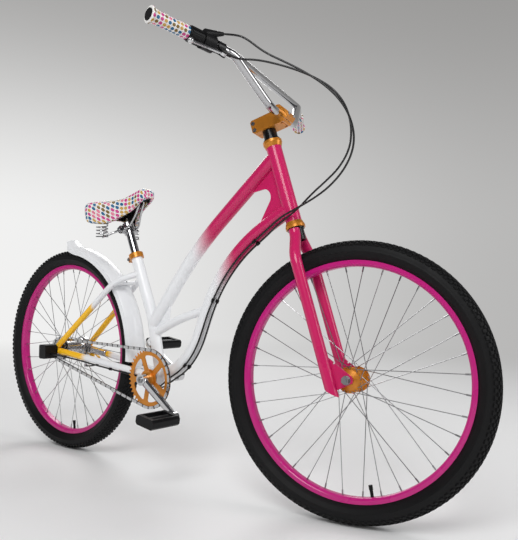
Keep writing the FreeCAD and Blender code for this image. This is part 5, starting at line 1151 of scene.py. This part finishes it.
@dataclass(frozen=True)
class Grips:
    """Moulded grips with a rounded flange and printed dots, sizes in millimetres."""

    looks: Looks
    places: tuple[GripPlace, ...] = (
        GripPlace("right_grip", (288.25, -418.54, 1144.86), (0.16544, 0.97775, -0.12897), 100.0),
        GripPlace("left_grip", (108.63, 397.66, 1083.11), (0.56255, -0.82673, 0.00754), 132.0),
    )
    bore: float = 11.13
    body: float = 16.25
    belly: float = 0.5
    flange: float = 19.9
    flange_length: float = 5.0
    overhang: float = 3.0
    soft: float = 1.2
    soft_share: float = 0.3
    sharp: float = 45.0
    pitch: float = 10.5
    rows: int = 16
    steps: int = 56

    def outline(self, length: float) -> list[Row]:
        """Draw a grip's closed outline.

        Args:
            length: Grip length.

        Returns:
            Radius and place along the grip, in metres.
        """
        soft, lip, body, rim = self.soft, self.flange_length, self.body, self.flange
        turn = self.soft_share * soft
        end = length + self.overhang
        made = [(self.bore, 0.0), (rim - soft, 0.0), (rim - turn, turn), (rim, soft)]
        made += [(rim, lip - soft), (rim - turn, lip - turn), (rim - soft, lip)]
        start = lip + 2 * soft
        for k in range(self.rows + 1):
            share = k / self.rows
            slack = math.sin(math.pi * share) * self.belly
            made.append((body - slack, start + (end - soft - start) * share))
        made += [(body - turn, end - turn), (body - soft, end), (self.bore, end)]
        return [(r * MM, s * MM) for r, s in made]

    def build(self) -> None:
        """Make both grips."""
        around = round(math.tau * self.body / self.pitch)
        for spot in self.places:
            data = lathe(
                spot.name, self.outline(spot.length), self.steps,
                lambda turn, row: (turn * around, row[1] / (self.pitch * MM)),
            )
            way = Vector(spot.way).normalized()
            start = (Vector(spot.end) - way * self.overhang) * MM
            place = Matrix.Translation(start) @ aim_along(way)
            piece = new_piece(spot.name, data, self.looks["dotted_grip"], place)
            smooth(data, self.sharp)
            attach(piece, "front")
            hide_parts("grips")


@dataclass(frozen=True)
class Cables:
    """Held cables on smooth lines from the bar to the rear wheel, sizes in millimetres."""

    looks: Looks
    radius: float = 2.5
    weld: float = 0.01
    order: int = 3
    along_steps: int = 8
    round_steps: int = 4
    sharp: float = 50.0
    bend_start: Point = (0.300, -0.02, 0.700)
    bend_end: Point = (0.345, -0.18, 1.110)
    routes: tuple[Route, ...] = (
        Route("shift_line", "shift_cable", (
            (335.0, -231.2, 1148.3), (342.9, -208.0, 1152.8), (365.8, -190.0, 1147.1),
            (411.8, -172.0, 1105.1), (460.8, -148.0, 1077.1), (501.8, -130.0, 1051.1),
            (545.8, -113.0, 1017.1), (579.8, -100.0, 978.1),
            (597.8, -90.0, 940.1), (603.8, -82.0, 903.1), (595.8, -75.0, 866.1), (566.8, -64.0, 829.1),
            (522.8, -53.0, 797.1), (473.8, -44.0, 774.1), (414.8, -36.0, 753.1), (356.8, -29.0, 734.1),
            (296.5, -17.5, 698.7), (230.3, -17.5, 654.2), (178.9, -17.6, 605.3), (135.0, -17.5, 548.0),
            (101.2, -17.5, 485.6), (83.6, -18.4, 440.1), (64.0, -19.1, 391.7), (34.2, -19.7, 345.7),
            (-5.7, -19.9, 309.1), (-51.2, -19.9, 284.1), (-91.9, -19.0, 252.4), (-117.9, -22.0, 251.4),
            (-156.2, -28.6, 275.0), (-205.5, -36.2, 283.0), (-253.9, -43.5, 290.0), (-320.0, -48.7, 296.6),
            (-385.8, -54.0, 303.9), (-439.9, -59.0, 311.0), (-486.8, -75.0, 318.1), (-512.0, -95.0, 325.0),
            (-534.0, -95.0, 325.0),
        )),
        Route("brake_line", "brake_cable", (
            (337.4, -208.3, 1103.2), (341.5, -183.8, 1100.0), (374.8, -155.0, 1101.1),
            (423.8, -128.0, 1086.1), (470.8, -110.0, 1066.1), (513.8, -97.0, 1042.1),
            (547.8, -86.0, 1016.1), (571.8, -76.0, 983.1),
            (582.8, -68.0, 948.1), (583.8, -61.0, 915.1), (574.8, -54.0, 878.1), (542.8, -45.0, 840.1),
            (499.8, -38.0, 812.1), (455.8, -32.0, 786.1), (409.8, -27.0, 751.1), (349.8, -27.0, 717.1),
            (299.8, -5.2, 692.8), (234.5, -5.1, 649.0), (184.0, -5.2, 600.8), (140.6, -5.2, 544.3),
            (107.3, -5.1, 482.9), (90.1, -5.4, 437.5), (70.6, -5.6, 388.4), (39.9, -5.8, 340.8),
            (-1.3, -5.9, 302.9), (-47.9, -5.8, 277.2), (-91.9, -2.0, 250.4), (-117.9, 5.0, 250.4),
            (-156.2, 28.6, 275.0), (-205.5, 36.2, 283.0), (-253.9, 43.5, 290.0), (-320.0, 48.7, 296.6),
            (-380.0, 53.0, 299.0), (-430.1, 57.2, 296.1), (-479.7, 63.2, 285.9), (-519.0, 56.0, 274.0),
            (-541.0, 56.0, 274.0),
        )),
    )

    def tube(self, route: Route) -> bpy.types.Mesh:
        """Draw a cable as a tube on one smooth line.

        Args:
            route: The cable.

        Returns:
            Its mesh.
        """
        data = bpy.data.curves.new(route.name, "CURVE")
        data.dimensions = "3D"
        line = data.splines.new("NURBS")
        line.points.add(len(route.points) - 1)
        for point, place in zip(line.points, route.points):
            point.co = (*(part * MM for part in place), 1.0)
        line.order_u = self.order
        line.use_endpoint_u = True
        line.resolution_u = self.along_steps
        data.bevel_depth = self.radius * MM
        data.bevel_resolution = self.round_steps
        data.use_fill_caps = True
        shape = bmesh.new()
        shape.from_mesh(evaluated_mesh(linked(route.name, data)))
        bmesh.ops.remove_doubles(shape, verts=shape.verts, dist=self.weld * MM)
        return finish_mesh(shape, f"{route.name}_jacket")

    def build(self) -> None:
        """Make each cable."""
        for route in self.routes:
            piece = new_piece(f"{route.name}_jacket", self.tube(route), self.looks["cable_jacket"])
            smooth(piece.data, self.sharp)
            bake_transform(piece)
            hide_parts(route.node)


@dataclass(frozen=True)
class Studio:
    """Pale floor, soft lights and the camera at the photograph's angle, sizes in metres."""

    floor_radius: float = 30.0
    floor_sides: int = 96
    floor_near: float = 1.0
    floor_far: float = 5.5
    floor_colour: Colour = (0.86, 0.86, 0.862)
    floor_cloud: Colour = (0.82, 0.82, 0.824)
    floor_finish: Finish = Finish(roughness=0.6, specular=0.25)
    cloud: Grain = Grain(1.3, 3.0)
    pale: Colour = (0.88, 0.88, 0.875)
    # Painted shade of the wall, also on the floor's far glow.
    dim: Colour = (0.29, 0.285, 0.28)
    room: Colour = (0.06, 0.06, 0.065)
    side_share: float = 0.68
    side_span: Row = (-0.36, 0.42)
    rise_share: float = 0.85
    rise_span: Row = (0.08, 0.44)
    room_span: Row = (0.75, 0.10)
    sky_light: float = 0.42
    lamps: tuple[Lamp, ...] = (
        Lamp("key", (1.6, -3.0, 3.4), (0.0, 0.0, 0.5), 2.4, 100.0),
        Lamp("fill", (3.4, 1.2, 2.0), (0.0, 0.0, 0.5), 2.0, 32.0),
        Lamp("back", (-2.4, 2.6, 3.0), (0.0, 0.0, 0.6), 2.2, 52.0),
    )
    eye: Point = (1.3754, -1.3840, 0.5501)
    yaw: float = -50.48
    pitch: float = 1.16
    roll: float = 0.8
    focal_pixels: float = 664.7
    centre: Row = (249.2, 275.5)
    image: tuple[int, int] = (518, 540)
    sensor: float = 36.0

    def build(self) -> None:
        """Make the floor, the surroundings, the lamps and the camera."""
        self.floor()
        self.surroundings()
        for lamp in self.lamps:
            self.hang(lamp)
        self.camera()
        bpy.context.scene.view_settings.view_transform = "Standard"

    def floor(self) -> None:
        """Make the floor, which far away glows with the wall's colour and its painted shade, and so goes over
        into the surroundings.
        """
        shape = bmesh.new()
        bmesh.ops.create_circle(shape, cap_ends=True, segments=self.floor_sides, radius=self.floor_radius)
        data = bpy.data.meshes.new("floor")
        shape.to_mesh(data)
        shape.free()
        shader = Shader("studio_floor", self.floor_finish)
        colour = shader.mix(shader.noise(self.cloud), self.floor_colour, self.floor_cloud)
        shader.feed(shader.surface.inputs["Base Color"], colour)
        x, y, _ = shader.axes()
        # Painted light: far off the floor glows instead of being lit, with painted shade darker towards the
        # camera's right.
        far = (x * x + y * y).root().ramp(self.floor_near, self.floor_far)
        out, over = x - self.eye[0], y - self.eye[1]
        side = self.sideways(out, over) / (out * out + over * over).root()
        keep = 1.0 - side.ramp(*self.side_span) * self.side_share
        glow = shader.node("ShaderNodeEmission", inputs={"Color": shader.mix(keep, self.dim, self.pale)})
        inputs = {0: far, 1: shader.surface.outputs[0], 2: glow.outputs[0]}
        mix = shader.node("ShaderNodeMixShader", inputs=inputs)
        shader.feed(shader.tree.nodes["Material Output"].inputs["Surface"], mix.outputs[0])
        new_piece("floor", data, shader.material)

    def surroundings(self) -> None:
        """Make the soft light all round, shown as a pale wall with painted shade to the camera's right and
        above, with a dark room in mirrors only.
        """
        world = bpy.data.worlds.new("studio")
        bpy.context.scene.world = world
        world.use_nodes = True
        graph = Graph(world.node_tree)
        place = graph.node("ShaderNodeTexCoord")
        split = graph.node("ShaderNodeSeparateXYZ", inputs={0: place.outputs["Generated"]})
        x, y, z = (Value(graph, out) for out in split.outputs)
        yaw = math.radians(self.yaw)
        side = self.sideways(x, y)
        ahead = -1.0 * (x * math.cos(yaw) + y * math.sin(yaw))
        # Painted shade: the wall that the camera and mirrors see darkens to the camera's right and upward;
        # diffuse light stays even.
        across = 1.0 - side.ramp(*self.side_span) * self.side_share
        upward = 1.0 - z.ramp(*self.rise_span) * self.rise_share
        wall = graph.mix(across * upward, self.dim, self.pale)
        path = graph.node("ShaderNodeLightPath")
        camera, mirror, through = (
            Value(graph, path.outputs[f"Is {ray} Ray"]) for ray in ("Camera", "Glossy", "Transmission")
        )
        shown = graph.mix(ahead.ramp(*self.room_span) * mirror, wall, self.room)
        seen = (camera + mirror + through) > HALF
        colour = graph.mix(seen, (self.sky_light,) * 3, shown)
        graph.feed(world.node_tree.nodes["Background"].inputs["Color"], colour)

    def sideways(self, x: Value, y: Value) -> Value:
        """Return how far a way goes to the camera's right."""
        yaw = math.radians(self.yaw)
        return y * math.cos(yaw) - x * math.sin(yaw)

    def hang(self, lamp: Lamp) -> None:
        """Hang one soft light.

        Args:
            lamp: The light.
        """
        data = bpy.data.lights.new(lamp.name, "AREA")
        data.shape = "DISK"
        data.size = lamp.size
        data.energy = lamp.power
        item = linked(lamp.name, data)
        item.location = lamp.place
        way = Vector(lamp.target) - Vector(lamp.place)
        item.rotation_euler = way.to_track_quat("-Z", "Y").to_euler()

    def camera(self) -> None:
        """Set the camera at the photograph's viewing angle."""
        place = Matrix.Translation(Vector(self.eye))
        for angle, axis in ((RIGHT_ANGLE + self.yaw, "Z"), (RIGHT_ANGLE + self.pitch, "X"), (self.roll, "Z")):
            place = place @ Matrix.Rotation(math.radians(angle), 4, axis)
        data = bpy.data.cameras.new("camera")
        width, height = self.image
        long_side = max(self.image)
        data.sensor_width = self.sensor
        data.lens = self.focal_pixels * self.sensor / long_side
        data.shift_x = (width / 2 - self.centre[0]) / long_side
        data.shift_y = (self.centre[1] - height / 2) / long_side
        camera = linked("camera", data)
        camera.matrix_world = place
        bpy.context.scene.camera = camera


def main() -> None:
    """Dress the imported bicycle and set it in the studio."""
    logging.basicConfig(level=logging.INFO, format="%(name)s: %(message)s")
    for item in list(bpy.data.objects):
        bpy.data.objects.remove(item)
    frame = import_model()
    looks = Looks()
    looks.dress_nodes(frame["nodes"])
    joints = {joint["name"]: joint for joint in frame["joints"]}
    Studio().build()
    Cables(looks).build()
    tyres = Tyres(looks, RingOfBlocks())
    for wheel in Wheel:
        tyres.build(wheel, joints[f"{wheel.value}_wheel_spin"])
    Saddle(looks).build()
    Grips(looks).build()
    LOG.info("dressed %d nodes", len(frame["nodes"]))


if __name__ == "__main__":
    main()
